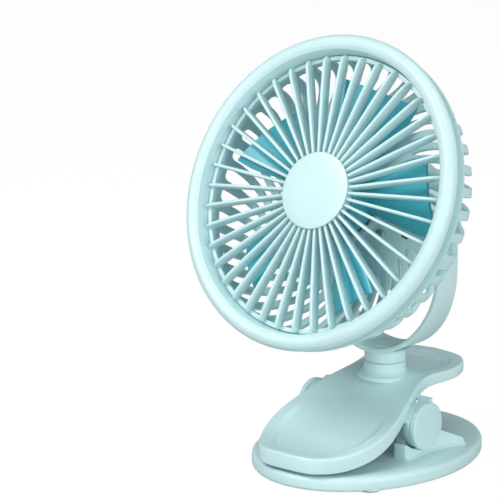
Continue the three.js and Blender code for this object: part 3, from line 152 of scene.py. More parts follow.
class Build:
    """Collects vertices and faces of one piece."""

    def __init__(self):
        self.verts = []
        self.faces = []

    def add(self, verts, faces, turn=None):
        base = len(self.verts)
        if turn is not None:
            verts = [turn @ Vector(v) for v in verts]
        self.verts.extend(tuple(v) for v in verts)
        self.faces.extend([i + base for i in f] for f in faces)
        return self

    def skin(self, rings, turn=None, ends=True):
        """Joins closed rings of equal length, and fills the first and the last one."""
        size = len(rings[0])
        verts = [p for ring in rings for p in ring]
        faces = []
        last = (len(rings) - 1) * size
        for low in range(0, last, size):
            for j in range(size):
                k = (j + 1) % size
                faces.append([low + j, low + k, low + size + k, low + size + j])
        if ends:
            faces.append(list(range(size))[::-1])
            faces.append([last + j for j in range(size)])
        return self.add(verts, faces, turn)

    def lathe(self, profile, sides=96, turn=None, closed=False):
        """Turns [r, z] points round z. A point on the axis becomes one vertex."""
        verts, rows = [], []
        for r, z in profile:
            if r < ON_AXIS:
                rows.append([len(verts)] * sides)
                verts.append((0, 0, z))
            else:
                rows.append([len(verts) + j for j in range(sides)])
                verts.extend((*polar(r, TAU * j / sides), z) for j in range(sides))
        faces = []
        count = len(rows)
        for i in range(count if closed else count - 1):
            low, high = rows[i], rows[(i + 1) % count]
            for j in range(sides):
                k = (j + 1) % sides
                face = list(dict.fromkeys([low[j], low[k], high[k], high[j]]))
                if len(face) > 2:
                    faces.append(face)
        return self.add(verts, faces, turn)

    def turned(self, profile, radii, steps, sides, turn=None):
        """Turns an open profile round z, its corners rounded."""
        return self.lathe(rounded(profile, radii, steps, closed=False), sides, turn)

    def prism(self, outline, a, b, axis="z", turn=None):
        """An outline of two-number points, drawn out from a to b along z or x."""
        if axis == "z":
            rings = [[(p[0], p[1], h) for p in outline] for h in (a, b)]
        else:
            rings = [[(h, p[0], p[1]) for p in outline] for h in (a, b)]
        return self.skin(rings, turn)

    def tube(self, points, radius, sides=12):
        rings = []
        side = Vector((1, 0, 0))
        for i, p in enumerate(points):
            p = Vector(p)
            along = Vector(points[min(i + 1, len(points) - 1)]) - Vector(points[max(i - 1, 0)])
            along.normalize()
            side = (side - along * side.dot(along)).normalized()
            across = along.cross(side)
            turns = (TAU * j / sides for j in range(sides))
            rings.append(
                [tuple(p + (side * math.cos(t) + across * math.sin(t)) * radius) for t in turns]
            )
        return self.skin(rings)


def linked(name, data):
    obj = bpy.data.objects.new(name, data)
    bpy.context.scene.collection.objects.link(obj)
    return obj


def solid(name, build, place, weld=False):
    """An object of what was collected, its normals outwards."""
    mesh = bpy.data.meshes.new(name)
    mesh.from_pydata([place @ Vector(v) for v in build.verts], [], build.faces)
    bm = bmesh.new()
    bm.from_mesh(mesh)
    if weld:
        bmesh.ops.remove_doubles(bm, verts=bm.verts, dist=WELD)
        bmesh.ops.dissolve_degenerate(bm, edges=bm.edges, dist=SLIVER)
    bmesh.ops.recalc_face_normals(bm, faces=bm.faces)
    bm.to_mesh(mesh)
    bm.free()
    return linked(name, mesh)


def cutter(build, place):
    return solid("cutter", build, place)


def make(name, build, place, material, body, nodes=(), angle=38, bevel=0.0, cutters=()):
    """Turns what was collected into a piece that rides on a body."""
    obj = solid(name, build, place, weld=True)
    for tool in cutters:
        mod = obj.modifiers.new("cut", "BOOLEAN")
        mod.operation = "DIFFERENCE"
        mod.solver = "EXACT"
        mod.object = tool
    if bevel:
        mod = obj.modifiers.new("edge", "BEVEL")
        mod.width = bevel * MM
        mod.segments = 3
        mod.limit_method = "ANGLE"
        mod.angle_limit = BEVEL_FROM
        mod.harden_normals = False
    if obj.modifiers:
        plain = obj.data
        depsgraph = bpy.context.evaluated_depsgraph_get()
        done = bpy.data.meshes.new_from_object(obj.evaluated_get(depsgraph))
        obj.modifiers.clear()
        obj.data = done
        done.name = name
        bpy.data.meshes.remove(plain)
    mesh = obj.data
    mesh.materials.clear()
    mesh.materials.append(material)
    for poly in mesh.polygons:
        poly.use_smooth = True
        poly.material_index = 0
    mesh.set_sharp_from_angle(angle=math.radians(angle))
    for tool in cutters:
        bpy.data.objects.remove(tool, do_unlink=True)
    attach(obj, body)
    if nodes:
        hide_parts(*nodes)


# ---------------------------------------------------------------- materials
RELIEF = 0.0001  # metres


def node(tree, kind, **values):
    """A shader node with its inputs set. An underscore in a name stands for a blank."""
    made = tree.nodes.new("ShaderNode" + kind)
    for key, value in values.items():
        made.inputs[key.replace("_", " ")].default_value = value
    return made


def bump(tree, height, strength):
    made = node(tree, "Bump", Strength=strength, Distance=RELIEF)
    tree.links.new(height.outputs["Fac"], made.inputs["Height"])
    tree.links.new(made.outputs["Normal"], tree.nodes["Principled BSDF"].inputs["Normal"])


def plastic(name, colour, rough=0.4, vary=0.035, grain=0.06, scale=1.0, coat=0.0):
    """Moulded plastic: slow colour drift, fine spark-eroded grain, uneven gloss."""
    mat = bpy.data.materials.new(name)
    mat.use_nodes = True
    tree = mat.node_tree
    link = tree.links.new
    shader = tree.nodes["Principled BSDF"]
    coord = node(tree, "TexCoord")
    slow = node(tree, "TexNoise", Scale=22 * scale, Detail=3)
    link(coord.outputs["Object"], slow.inputs["Vector"])
    drift = node(tree, "ValToRGB")
    dark, light = drift.color_ramp.elements
    dark.color = (*(c * (1 - vary) for c in colour), 1)
    light.color = (*(min(c * (1 + vary), 1) for c in colour), 1)
    dark.position, light.position = 0.3, 0.7
    link(slow.outputs["Fac"], drift.inputs["Fac"])
    link(drift.outputs["Color"], shader.inputs["Base Color"])
    fine = node(tree, "TexNoise", Scale=2600 * scale, Detail=2)
    link(coord.outputs["Object"], fine.inputs["Vector"])
    gloss = node(tree, "MapRange", To_Min=rough - 0.05, To_Max=rough + 0.05)
    link(slow.outputs["Fac"], gloss.inputs["Value"])
    link(gloss.outputs["Result"], shader.inputs["Roughness"])
    bump(tree, fine, grain)
    shader.inputs["IOR"].default_value = 1.5
    if coat:
        shader.inputs["Coat Weight"].default_value = coat
        shader.inputs["Coat Roughness"].default_value = 0.12
    return mat


def metal(name, colour, rough=0.3, streak=260):
    """Drawn or zinc-plated metal: fine streaks along x and cloudy gloss."""
    mat = plastic(name, colour, rough, vary=0.08)
    tree = mat.node_tree
    tree.nodes["Principled BSDF"].inputs["Metallic"].default_value = 1
    coord = node(tree, "TexCoord")
    stretch = node(tree, "Mapping", Scale=(0.15, 6, 6))
    noise = node(tree, "TexNoise", Scale=streak)
    tree.links.new(coord.outputs["Object"], stretch.inputs["Vector"])
    tree.links.new(stretch.outputs["Vector"], noise.inputs["Vector"])
    bump(tree, noise, 0.1)
    return mat


def rubber(name, colour):
    return plastic(name, colour, rough=0.75, vary=0.15, grain=0.35, scale=0.6)


MINT = plastic("mint_plastic", (0.60, 0.825, 0.84), rough=0.36)
# The same mint plastic, darkened: painted shade for the cage deep inside the head behind the
# grille.
MINT_CAGE_SHADE = plastic("mint_cage_painted_shade", (0.55, 0.775, 0.79), rough=0.42)
BUTTON = plastic("button_plastic", (0.40, 0.62, 0.63))
TEAL = plastic("teal_blade_plastic", (0.07, 0.46, 0.55), rough=0.33, coat=0.15)
STEEL = metal("zinc_steel", (0.55, 0.57, 0.58))
SPRING = metal("spring_steel", (0.42, 0.44, 0.45), rough=0.28)
# Dark plastic: the spring sleeve's own colour, and painted shade in the cage's slot.
DARK = plastic("dark_sleeve_and_slot_shade", (0.03, 0.04, 0.04), rough=0.5)
RUBBER = rubber("foot_rubber", (0.05, 0.055, 0.06))
PAD = rubber("jaw_pad_rubber", (0.20, 0.26, 0.265))
BOARD = plastic("solder_mask", (0.02, 0.16, 0.08), vary=0.2)
CELL = metal("cell_foil", (0.55, 0.57, 0.6), rough=0.35, streak=90)
LENS = plastic("frosted_lens", (0.85, 0.88, 0.9), rough=0.2, vary=0.01)

# ---------------------------------------------------------------- head: ring and grille
RING_AT, RING_R, RING_INNER = 59.1, 75.0, 66.3
CREST = RING_AT + 4.1
RING_REAR = RING_AT - 7.6


def bezel():
    profile = [
        (RING_INNER, RING_REAR),
        (RING_R - 5.5, RING_REAR),
        (RING_R - 2.5, RING_AT - 4.6),
        (RING_R - 0.4, RING_AT - 1.9),
        (RING_R, RING_AT),
        (RING_R - 1, RING_AT + 2.5),
        (RING_R - 3.4, CREST),
        (RING_R - 6, RING_AT + 3.6),
        (RING_R - 7.6, RING_AT + 2.3),
        (RING_INNER, RING_AT - 4.6),
    ]
    smooth = rounded(profile, [0.4, 1.2, 1.5, 1.0, 1.2, 1.3, 1.0, 0.6, 0.25, 0.6], 4)
    b = Build().lathe(smooth, 192, closed=True)
    make("front_ring", b, HEAD, MINT, "head", ["front_bezel"], angle=22)


GRILLE_OUT = RING_INNER - 0.3
GRILLE_IN = GRILLE_OUT - 4
SPOKES = 40
FIRST_SPOKE = 4.5  # degrees
SPOKE_FRONT = RING_AT + 0.6
HUB_R = 18.2
HUB_FACE = SPOKE_FRONT + 1.7


def spoke():
    """Rings of one spoke along x, from stops of r, front face, depth and half-width."""
    stops = [
        (HUB_R - 2.2, SPOKE_FRONT + 0.75, 6.0, 0.72),
        (HUB_R + 2, SPOKE_FRONT + 0.75, 6.0, 0.74),
        (HUB_R + 16, SPOKE_FRONT + 0.7, 6.0, 0.78),
        (GRILLE_IN - 14, SPOKE_FRONT + 0.45, 6.0, 0.8),
        (GRILLE_IN - 2, SPOKE_FRONT - 0.1, 6.0, 0.8),
        (GRILLE_IN + 1.4, SPOKE_FRONT - 0.5, 5.4, 0.8),
        (GRILLE_OUT - 1.5, SPOKE_FRONT - 1.2, 4.6, 0.78),
        (GRILLE_OUT - 0.7, SPOKE_FRONT - 2.0, 3.6, 0.7),
        (GRILLE_OUT - 0.35, SPOKE_FRONT - 3.0, 2.4, 0.5),
    ]
    rings = []
    for r, front, deep, half in stops:
        crown, root = half * 0.55, half * 0.8
        flat = [(-crown, 0), (crown, 0), (half, -0.55), (root, -deep), (-root, -deep)]
        flat.append((-half, -0.55))
        rings.append([(r, y, front + z) for y, z in rounded(flat, 0.35, 2)])
    return rings


def grille():
    ring = rect(GRILLE_OUT - 2.2, GRILLE_OUT, RING_REAR + 0.2, RING_REAR + 3.6)
    b = Build().lathe(rounded(ring, 0.5), 160, closed=True)
    hub = rect(0, HUB_R - 1, SPOKE_FRONT - 5, SPOKE_FRONT - 0.3)
    b.turned(hub, [0, 0.5, 0.5, 0], 3, 96)
    rings = spoke()
    for i in range(SPOKES):
        b.skin(rings, spun(i * 360 / SPOKES + FIRST_SPOKE))
    make("front_spokes", b, HEAD, MINT, "head", ["front_grille"], angle=50)
    back = SPOKE_FRONT + 0.1
    cap = [
        (0, back),
        (HUB_R - 2.3, back),
        (HUB_R - 2.3, back + 1.2),
        (HUB_R, back + 1.2),
        (HUB_R, HUB_FACE + 0.1),
        (HUB_R - 0.9, HUB_FACE + 0.45),
        (HUB_R - 6, HUB_FACE + 0.85),
        (0, HUB_FACE + 1.0),
    ]
    b = Build().turned(cap, [0, 0, 0, 0.2, 0.7, 0.6, 3, 0], 4, 128)
    make("grille_cap", b, HEAD, MINT, "head", ["grille_hub_cap"], angle=40)


# ---------------------------------------------------------------- head: cage behind
CAGE_FRONT = RING_REAR - 0.3
FLANGE_R, FLANGE_IN = 73.6, 65.0
SHOULDER = 66.0
DISH_FRONT = CREST - 30.6 - 3.5
DISH_R, DISH_T = 38.5, 2.4
RIM_R, RIM_IN, RIM_RISE = 16.4, 14.3, 2.2
BAND = 6.0
FIRST_RIB, WING_AT = 1.5, -17  # degrees
RIB_SWIRL = 24.0
RIB_THIN, WING_THIN = 1.2, 1.25


def strip(b, stops, thin, turn, swirl):
    """A flat rib with rounded edges through stops of r, z, share of swirl, facing, half-width."""
    rings = []
    for r, z, share, facing, half in spline(stops, 34):
        angle = math.radians(swirl * share)
        radial = Vector((math.cos(angle), math.sin(angle), 0))
        around = Vector((-math.sin(angle), math.cos(angle), 0))
        face = math.radians(90 * min(max(facing, 0), 1))
        out = radial * math.cos(face) + Vector((0, 0, -1)) * math.sin(face)
        centre = radial * r + Vector((0, 0, z))
        loop = rounded(rect(-half, half, -thin, thin), 0.8)
        rings.append([tuple(centre + around * a + out * c) for a, c in loop])
    b.skin(rings, turn)


def cage():
    back = DISH_FRONT - DISH_T / 2
    root = CAGE_FRONT - BAND
    flange = [
        (FLANGE_IN, CAGE_FRONT - 2),
        (FLANGE_R - 0.8, CAGE_FRONT - 2),
        (FLANGE_R, CAGE_FRONT - 0.8),
        (FLANGE_R, CAGE_FRONT),
        (FLANGE_IN, CAGE_FRONT),
    ]
    b = Build().lathe(rounded(flange, 0.35, 2), 160, closed=True)
    dish = [
        (0, DISH_FRONT - DISH_T),
        (DISH_R, DISH_FRONT - DISH_T),
        (DISH_R, DISH_FRONT),
        (RIM_R, DISH_FRONT),
        (RIM_R, DISH_FRONT + RIM_RISE),
        (RIM_IN, DISH_FRONT + RIM_RISE),
        (RIM_IN, DISH_FRONT),
        (0, DISH_FRONT),
    ]
    b.turned(dish, [0, 0.7, 0.7, 0.5, 0.4, 0.3, 0, 0], 3, 96)
    band = [
        (SHOULDER + 0.3, CAGE_FRONT - 1),
        (SHOULDER + 0.3, root),
        (SHOULDER + 2.7, root),
        (SHOULDER + 2.9, CAGE_FRONT - 1),
    ]
    b.lathe(rounded(band, [0, 0.6, 0.6, 0]), 160, closed=True)
    rib = [
        (SHOULDER + 1.5, root + 1.5, 0.0, 0.0, 4.9),
        (SHOULDER + 1.5, root + 0.1, 0.0, 0.0, 4.1),
        (SHOULDER + 1.5, root - 1.4, 0.0, 0.0, 2.75),
        (SHOULDER + 1.4, root - 3.2, 0.01, 0.06, 2.35),
        (SHOULDER + 0.9, back + 8.2, 0.04, 0.2, 2.35),
        (SHOULDER - 0.9, back + 4.2, 0.09, 0.42, 2.35),
        (SHOULDER - 4.2, back + 1.5, 0.18, 0.78, 2.35),
        (SHOULDER - 9, back + 0.5, 0.32, 0.97, 2.3),
        (DISH_R + 12, back + 0.1, 0.58, 1.0, 2.2),
        (DISH_R + 3, back, 0.88, 1.0, 2.3),
        (DISH_R - 1, back, 1.0, 1.0, 2.9),
    ]
    for i in range(SPOKES):
        strip(b, rib, RIB_THIN, spun(i * 360 / SPOKES + FIRST_RIB), RIB_SWIRL)
    wing = [
        (DISH_R - 2, back, 0, 1, 4.4),
        (SHOULDER - 12, back + 0.2, 0, 1, 3.5),
        (SHOULDER - 5, back + 1.2, 0, 0.85, 3.5),
        (SHOULDER - 1.2, back + 4.2, 0, 0.45, 3.5),
        (SHOULDER + 0.9, back + 9, 0, 0.15, 3.5),
        (SHOULDER + 1.5, root + 1, 0, 0, 4.6),
    ]
    strip(b, wing, WING_THIN, spun(WING_AT), 0)
    # The rear guard takes the darkened mint, which paints the shade inside the head.
    make("rear_guard", b, HEAD, MINT_CAGE_SHADE, "head", ["rear_cage"], angle=45)
    # A thin dark sheet on the dish at the wing's root: painted shade that stands in for the
    # slot's opening.
    slot_shade = rounded(rect(DISH_R - 6.4, DISH_R - 2.2, -0.9, 0.9), 0.8)
    b = Build().prism(slot_shade, DISH_FRONT + 0.02, DISH_FRONT + 0.06, turn=spun(WING_AT))
    make("guard_slot_shade", b, HEAD, DARK, "head")


# ---------------------------------------------------------------- head: pod
POD_R, POD_WALL = 33.5, 2.4
POD_FRONT = DISH_FRONT - DISH_T - 0.3
POD_BACK = -5.3
COVER_FRONT = POD_BACK - 0.3
COVER_BACK = POD_BACK - 3.8
COVER_T = 2.2
BOSS_R, BOSS_OUT = 8, 33.8
BUTTON_R, COLLAR_R = 6.0, 7.2
SCREW_CIRCLE, SCREW_HOLE, SCREW_WELL = 27, 1.7, 2.9
LENS_Y, LENS_HOLE = 13, 1.8


def cover_cuts():
    """Cutters for the button, the four screws, the socket and the light in the back cover."""
    below, above = COVER_BACK - 2, COVER_FRONT + 1
    cuts = [cutter(Build().lathe(rect(0, BUTTON_R + 0.3, below, above), 64), HEAD)]
    well = [
        (0, below),
        (SCREW_WELL, below),
        (SCREW_WELL, COVER_BACK + 2),
        (SCREW_HOLE, COVER_BACK + 2),
        (SCREW_HOLE, COVER_FRONT),
        (0, COVER_FRONT),
    ]
    for k in range(4):
        x, y = polar(SCREW_CIRCLE, math.radians(45 + 90 * k))
        cuts.append(cutter(Build().lathe(well, 32, moved(x, y)), HEAD))
    port = rounded(rect(-4.8, 4.8, -17.9, -14.1), 1.7, 5)
    cuts.append(cutter(Build().prism(port, below, above), HEAD))
    light = Build().lathe(rect(0, LENS_HOLE, below, above), 32, moved(0, LENS_Y))
    cuts.append(cutter(light, HEAD))
    return cuts


def pod():
    drum = [
        (0, POD_FRONT - POD_WALL),
        (POD_R - POD_WALL, POD_FRONT - POD_WALL),
        (POD_R - POD_WALL, POD_BACK),
        (POD_R, POD_BACK),
        (POD_R, POD_FRONT - 0.4),
        (POD_R - 1, POD_FRONT),
        (0, POD_FRONT),
    ]
    b = Build().turned(drum, [0, 0.6, 0.3, 0.35, 0.8, 0.8, 0], 3, 128)
    boss = rect(0, BOSS_R, POD_R - 7, BOSS_OUT)
    for _, side in SIDES:
        b.turned(boss, [0, 0, 0.3, 0], 2, 48, sideways(side))
    make("pod_drum", b, HEAD, MINT, "head", ["motor_pod"])
    shell = [
        (0, COVER_BACK),
        (POD_R - 6, COVER_BACK + 0.05),
        (POD_R - 1.2, COVER_BACK + 1.2),
        (POD_R, COVER_FRONT - 0.2),
        (POD_R - 2.4, COVER_FRONT),
        (POD_R - 3.8, COVER_BACK + COVER_T),
        (0, COVER_BACK + COVER_T),
    ]
    b = Build().turned(shell, [0, 5, 2.6, 0.3, 0.3, 1, 0], 6, 128)
    cuts = cover_cuts()
    make("pod_back_cover", b, HEAD, MINT, "head", ["pod_cover"], bevel=0.25, cutters=cuts)
    proud = COVER_BACK - 1.3
    button = [
        (0, proud + 0.35),
        (BUTTON_R / 2, proud + 0.25),
        (BUTTON_R, proud),
        (BUTTON_R, POD_BACK),
        (COLLAR_R, POD_BACK),
        (COLLAR_R, POD_BACK + 1.2),
        (0, POD_BACK + 1.2),
    ]
    b = Build().turned(button, [0, 1.5, 0.8, 0, 0.2, 0.2, 0], 4, 64)
    make("button_cap", b, HEAD, BUTTON, "button", ["power_button"])


# ---------------------------------------------------------------- rotor
BLADES, FIRST_BLADE = 5, 8  # count, degrees
BLADE_AT, BLADE_TIP = 43.5, 53.5
CAMBER, BLADE_HALF_T = 0.09, 0.8
ROTOR_R, ROTOR_WALL = 16.8, 1.6
ROTOR_FRONT = BLADE_AT + 9.6
ROTOR_BACK = ROTOR_FRONT - 16


def blade():
    """Rings of one cambered blade along x, from stops of r, chord and pitch in degrees."""
    stops = [
        (ROTOR_R - 1.5, 15, 46),
        (ROTOR_R + 6, 21, 41),
        (ROTOR_R + 16, 29, 35),
        (ROTOR_R + 26, 36, 30),
        (BLADE_TIP, 40, 27),
    ]
    shares = [-0.5, -0.49, -0.46, -0.38, -0.25, -0.1, 0.05, 0.2, 0.35, 0.45, 0.49, 0.5]
    around = [(1, share) for share in shares] + [(-1, share) for share in shares[::-1]]
    rings = []
    for r, chord, pitch in spline(stops, 20):
        turn = math.radians(pitch)
        ring = []
        for side, share in around:
            edge = math.sqrt(max(1 - (abs(share) / 0.5) ** 6, 0))
            off = CAMBER * chord * (1 - 4 * share * share) + side * (BLADE_HALF_T * edge + 0.02)
            y = share * chord * math.cos(turn) - off * math.sin(turn)
            z = share * chord * math.sin(turn) + off * math.cos(turn)
            ring.append((r, y, BLADE_AT + z))
        rings.append(ring)
    return rings


def rotor():
    inner = ROTOR_R - ROTOR_WALL
    hub = [
        (inner, ROTOR_BACK),
        (ROTOR_R, ROTOR_BACK),
        (ROTOR_R, ROTOR_FRONT - 2),
        (ROTOR_R - 1.4, ROTOR_FRONT - 0.4),
        (ROTOR_R - 4, ROTOR_FRONT),
        (0, ROTOR_FRONT + 0.4),
    ]
    b = Build().turned(hub, [0.3, 0.3, 1, 1.5, 1.5, 0], 3, 96)
    b.lathe([(0, ROTOR_FRONT - 2), (inner, ROTOR_FRONT - 2), (inner, ROTOR_BACK)])
    rings = blade()
    for k in range(BLADES):
        b.skin(rings, spun(k * 360 / BLADES + FIRST_BLADE))
    make("fan_blades", b, HEAD, TEAL, "rotor", ["impeller"], angle=45)


# ---------------------------------------------------------------- yoke
YOKE_HALF, YOKE_RISE, YOKE_BOTTOM, YOKE_T = 36.5, 43.0, 51.6, 2.4
ARM_WIDE, FOOT_WIDE = 15.6, 24
MID_Z = YOKE_BOTTOM + YOKE_RISE
POST_R, POST_LOW = 10.0, 46.2
DISC_R, COVER_SEAT_R, COVER_R, SCREW_COVER_R = 9, 6.3, 6, 8
COVER_AT = 36.6


def yoke():
    def section(x, z, ox, oz, width):
        """The band at a point of its outer face, which looks along ox, oz."""
        edge = rounded(rect(-width / 2, width / 2, 0, YOKE_T), 0.8)
        return [(x - ox * c, y, z - oz * c) for y, c in edge]

    rings = [section(YOKE_HALF, lerp(TILT_Z, MID_Z, i / 8), 1, 0, ARM_WIDE) for i in range(8)]
    for i in range(65):
        turn = -math.pi * i / 64
        ox, oz = math.cos(turn) * YOKE_RISE, math.sin(turn) * YOKE_HALF
        long = math.hypot(ox, oz)
        wide = lerp(ARM_WIDE, FOOT_WIDE, math.sin(turn) ** 2)
        x, z = YOKE_HALF * math.cos(turn), MID_Z + YOKE_RISE * math.sin(turn)
        rings.append(section(x, z, ox / long, oz / long, wide))
    for i in range(1, 9):
        rings.append(section(-YOKE_HALF, lerp(MID_Z, TILT_Z, i / 8), -1, 0, ARM_WIDE))
    b = Build().skin(rings)
    inner, outer = YOKE_HALF - YOKE_T, YOKE_HALF + 1
    disc = [
        (0, inner),
        (DISC_R, inner),
        (DISC_R, outer),
        (COVER_SEAT_R, outer),
        (COVER_SEAT_R, outer - 1.2),
        (0, outer - 1.2),
    ]
    for _, side in SIDES:
        b.turned(disc, [0, 0.3, 0.8, 0.3, 0, 0], 3, 64, sideways(side, z=TILT_Z))
    post = [
        (0, POST_LOW),
        (POST_R, POST_LOW),
        (POST_R, YOKE_BOTTOM + 0.2),
        (POST_R + 2.5, YOKE_BOTTOM + 1.4),
        (0, YOKE_BOTTOM + 1.4),
    ]
    b.turned(post, [0, 0.5, 2.2, 0, 0], 4, 96)
    make("yoke_band", b, CLIP, MINT, "yoke", ["yoke"])
    z = YOKE_BOTTOM + YOKE_T - 0.6
    plug = [(0, z), (SCREW_COVER_R, z), (SCREW_COVER_R, z + 1.3), (0, z + 1.5)]
    b = Build().turned(plug, [0, 0, 0.5, 0], 3, 64)
    make("yoke_plug", b, CLIP, MINT, "yoke", ["yoke_screw_cover"])
    cap = [(0, COVER_AT), (COVER_R, COVER_AT), (COVER_R, COVER_AT + 1.4), (0, COVER_AT + 1.7)]
    for name, side in SIDES:
        b = Build().turned(cap, [0, 0, 0.6, 0], 3, 64, sideways(side, z=TILT_Z))
        make("tilt_cover_" + name, b, CLIP, MINT, "yoke", ["tilt_cap_" + name])


# ---------------------------------------------------------------- lever
NOSE_Y, TAIL_Y = -78.5, 43
LEVER_OUTLINE = [
    (0, NOSE_Y),
    (16.2, -76),
    (27.9, -60.3),
    (32.4, -42),
    (28.2, -19.5),
    (22.2, 3),
    (25.6, 25),
    (18.4, 39),
    (0, TAIL_Y),
]
NOSE_Z, WAIST_Z, TAIL_LIFT = 17.5, 40.4, 2.6
NOSE_SKIRT, TAIL_SKIRT = 7.7, 5.0
NOSE_DISH, TAIL_DISH = 1.5, 0.7
WALL, LIP = 2.2, 1.3
SPINE = -52, 20
COLLAR_IN, COLLAR_TOP = 2.8, 45.9

PIVOT_Y, PIVOT_Z = -12.5, 21.6
EAR_X, WEB_X, EAR_OUT = 26.3, 29.4, 32.0
EAR_R, AXLE_HOLE = 11.1, 3
SHELF_T, SLIT = 1.5, 1.7


def lever_top(y):
    return lerp(NOSE_Z, WAIST_Z, step(-72, 12, y)) + TAIL_LIFT * (max(y - 3, 0) / 40) ** 2


def skirt(y):
    """Height of the lever's side wall, which is deepest at the nose."""
    return lerp(NOSE_SKIRT, TAIL_SKIRT, step(NOSE_Y, TAIL_Y, y))


def skirt_low(y):
    return lever_top(y) - skirt(y)


def dish(y, rim):
    """How far the thumb dish and the tail dish lie under the top, at a distance from the rim."""
    nose = NOSE_DISH * step(4.6, 7.6, rim) * (1 - step(-46, -30, y))
    tail = TAIL_DISH * (step(4.2, 6.2, rim) + 0.8 * step(8, 10, rim)) * step(2, 12, y)
    return nose + tail


def swell(x, y):
    """Rise of the skin towards the swivel post."""
    return 1.7 * (1 - step(8, 21, math.hypot(x, y)))


def lever_loop():
    right = spline(LEVER_OUTLINE, 150)
    left = [(-x, y) for x, y in reversed(right[1:-1])]
    return right + left


def lever_half(y):
    """Half the lever's width."""
    line = spline(LEVER_OUTLINE, 160)
    for (x0, y0), (x1, y1) in zip(line, line[1:]):
        if y0 <= y <= y1:
            return lerp(x0, x1, (y - y0) / (y1 - y0 or 1))
    return 0


def leave(loop, inset):
    """The loop, moved inwards by a distance."""
    out = []
    n = len(loop)
    for i, (x, y) in enumerate(loop):
        x0, y0 = loop[i - 1]
        x1, y1 = loop[(i + 1) % n]
        tx, ty = x1 - x0, y1 - y0
        long = math.hypot(tx, ty) or 1
        out.append((x - ty / long * inset, y + tx / long * inset))
    return out


def toward_spine(loop, share):
    """The loop, drawn in to a share of its distance from the spine."""
    out = []
    for x, y in loop:
        sy = min(max(y, SPINE[0]), SPINE[1])
        out.append((x * share, sy + (y - sy) * share))
    return out


def lever():
    loop = lever_loop()
    rings = []

    def ring(points, under, skirts=0.0):
        """Adds points that lie under the top by a distance and a share of the skirt."""
        rings.append([(x, y, lever_top(y) - under - skirts * skirt(y)) for x, y in points])

    # inner surface, from the spine outwards, then down the inner wall
    inner = leave(loop, WALL)
    for share in (0, 0.3, 0.55, 0.8, 0.95):
        ring(toward_spine(inner, share), WALL + 1.4)
    ring(inner, WALL + 1)
    ring(inner, -0.3, 1)
    ring(leave(loop, WALL - 0.3), 0, 1)
    # outer wall up and over the rounded edge
    ring(leave(loop, 0.4), 0, 1)
    ring(leave(loop, 0.1), -0.2, 1)
    ring(loop, -0.6, 1)
    ring(loop, 0, 0.5)
    for k in range(6):
        a = math.pi / 2 * k / 5
        ring(leave(loop, LIP * (1 - math.cos(a))), LIP * (1 - math.sin(a)))
    # top, from the edge to the spine
    top = leave(loop, LIP)
    count = 54
    for k in range(1, count + 1):
        row = []
        for (x, y), (ex, ey) in zip(toward_spine(top, 1 - k / count), top):
            rim = math.hypot(ex - x, ey - y)
            row.append((x, y, lever_top(y) - dish(y, rim) + swell(x, y)))
        rings.append(row)
    b = Build().skin(rings, ends=False)
    make("lever_shell", b, CLIP, MINT, "lever", ["clip_lever"], angle=50)
    collar()
    ears()
    tray()


def collar():
    """The collar under the swivel post, with a small flared foot."""
    skin = lever_top(0) + swell(10, 0)
    flare = [
        (12.2, skin - 0.5),
        (11.4, skin + 0.1),
        (10.9, skin + 0.6),
        (10.5, skin + 1.2),
        (10.25, skin + 2.0),
        (10.15, COLLAR_TOP - 0.4),
    ]
    profile = [(13.5, skin - 3), (13.5, skin - 0.9)] + spline(flare, 30)
    profile += [(10.05, COLLAR_TOP - 0.15), (9.8, COLLAR_TOP)]
    profile += [(COLLAR_IN, COLLAR_TOP), (COLLAR_IN, skin - 3)]
    b = Build().lathe(profile, 128, closed=True)
    make("lever_collar", b, CLIP, MINT, "lever", angle=50)


def ears():
    """On each side a barrel round the axle, and a web and a shelf that join it to the skirt."""
    rear, front = PIVOT_Y + 7.8, PIVOT_Y - EAR_R - 0.4
    start = math.degrees(math.acos((rear - PIVOT_Y) / EAR_R))
    web = [(rear, skirt_low(rear) + SHELF_T)]
    for k in range(33):
        y, z = polar(EAR_R, math.radians(lerp(start, -178, k / 32)))
        web.append((PIVOT_Y + y, PIVOT_Z + z))
    for k in range(17):
        y = lerp(front, rear - 0.8, k / 16)
        web.append((y, skirt_low(y) + SHELF_T))
    slit_from, slit_to = front + 7, rear - 2
    shelf = []
    for k in range(33):
        y = lerp(front, rear, k / 32)
        along = min(max((y - slit_from) / (slit_to - slit_from), 0), 1)
        slit = SLIT * math.sin(math.pi * along)
        near = lever_half(y) + (slit if slit > 0.05 else -1.2)
        low = skirt_low(y)
        shelf.append([(x, y, z) for x, z in rect(near, EAR_OUT - 0.1, low, low + SHELF_T)])
    barrel = [
        (AXLE_HOLE, EAR_X),
        (EAR_R - 1, EAR_X),
        (EAR_R - 0.3, 28.6),
        (EAR_R, 30.2),
        (EAR_R, EAR_OUT),
        (AXLE_HOLE, EAR_OUT),
    ]
    for name, side in SIDES:
        turn, pivot = flipped(side), sideways(side, PIVOT_Y, PIVOT_Z)
        b = Build().lathe(rounded(barrel, [0, 0.5, 1, 1, 0.3, 0]), 96, pivot, closed=True)
        make("lever_barrel_" + name, b, CLIP, MINT, "lever", angle=50)
        b = Build().prism(web, WEB_X, EAR_OUT - 0.05, axis="x", turn=turn)
        hole = cutter(Build().lathe(rect(0, AXLE_HOLE, 20, 34), 48, pivot), CLIP)
        b.skin(shelf, turn)
        make("lever_ear_" + name, b, CLIP, MINT, "lever", bevel=0.35, cutters=[hole])


# ---------------------------------------------------------------- jaws and pivot
PAD_HALF, PAD_FRONT, PAD_BACK, PAD_T = 23, -72, -36, 1.8
TRAY_LOW, TRAY_T = 12.7, 1.8
RIB_HALF_T = 0.9
CAP_R, CAP_HUB_R = 11.5, 4.5


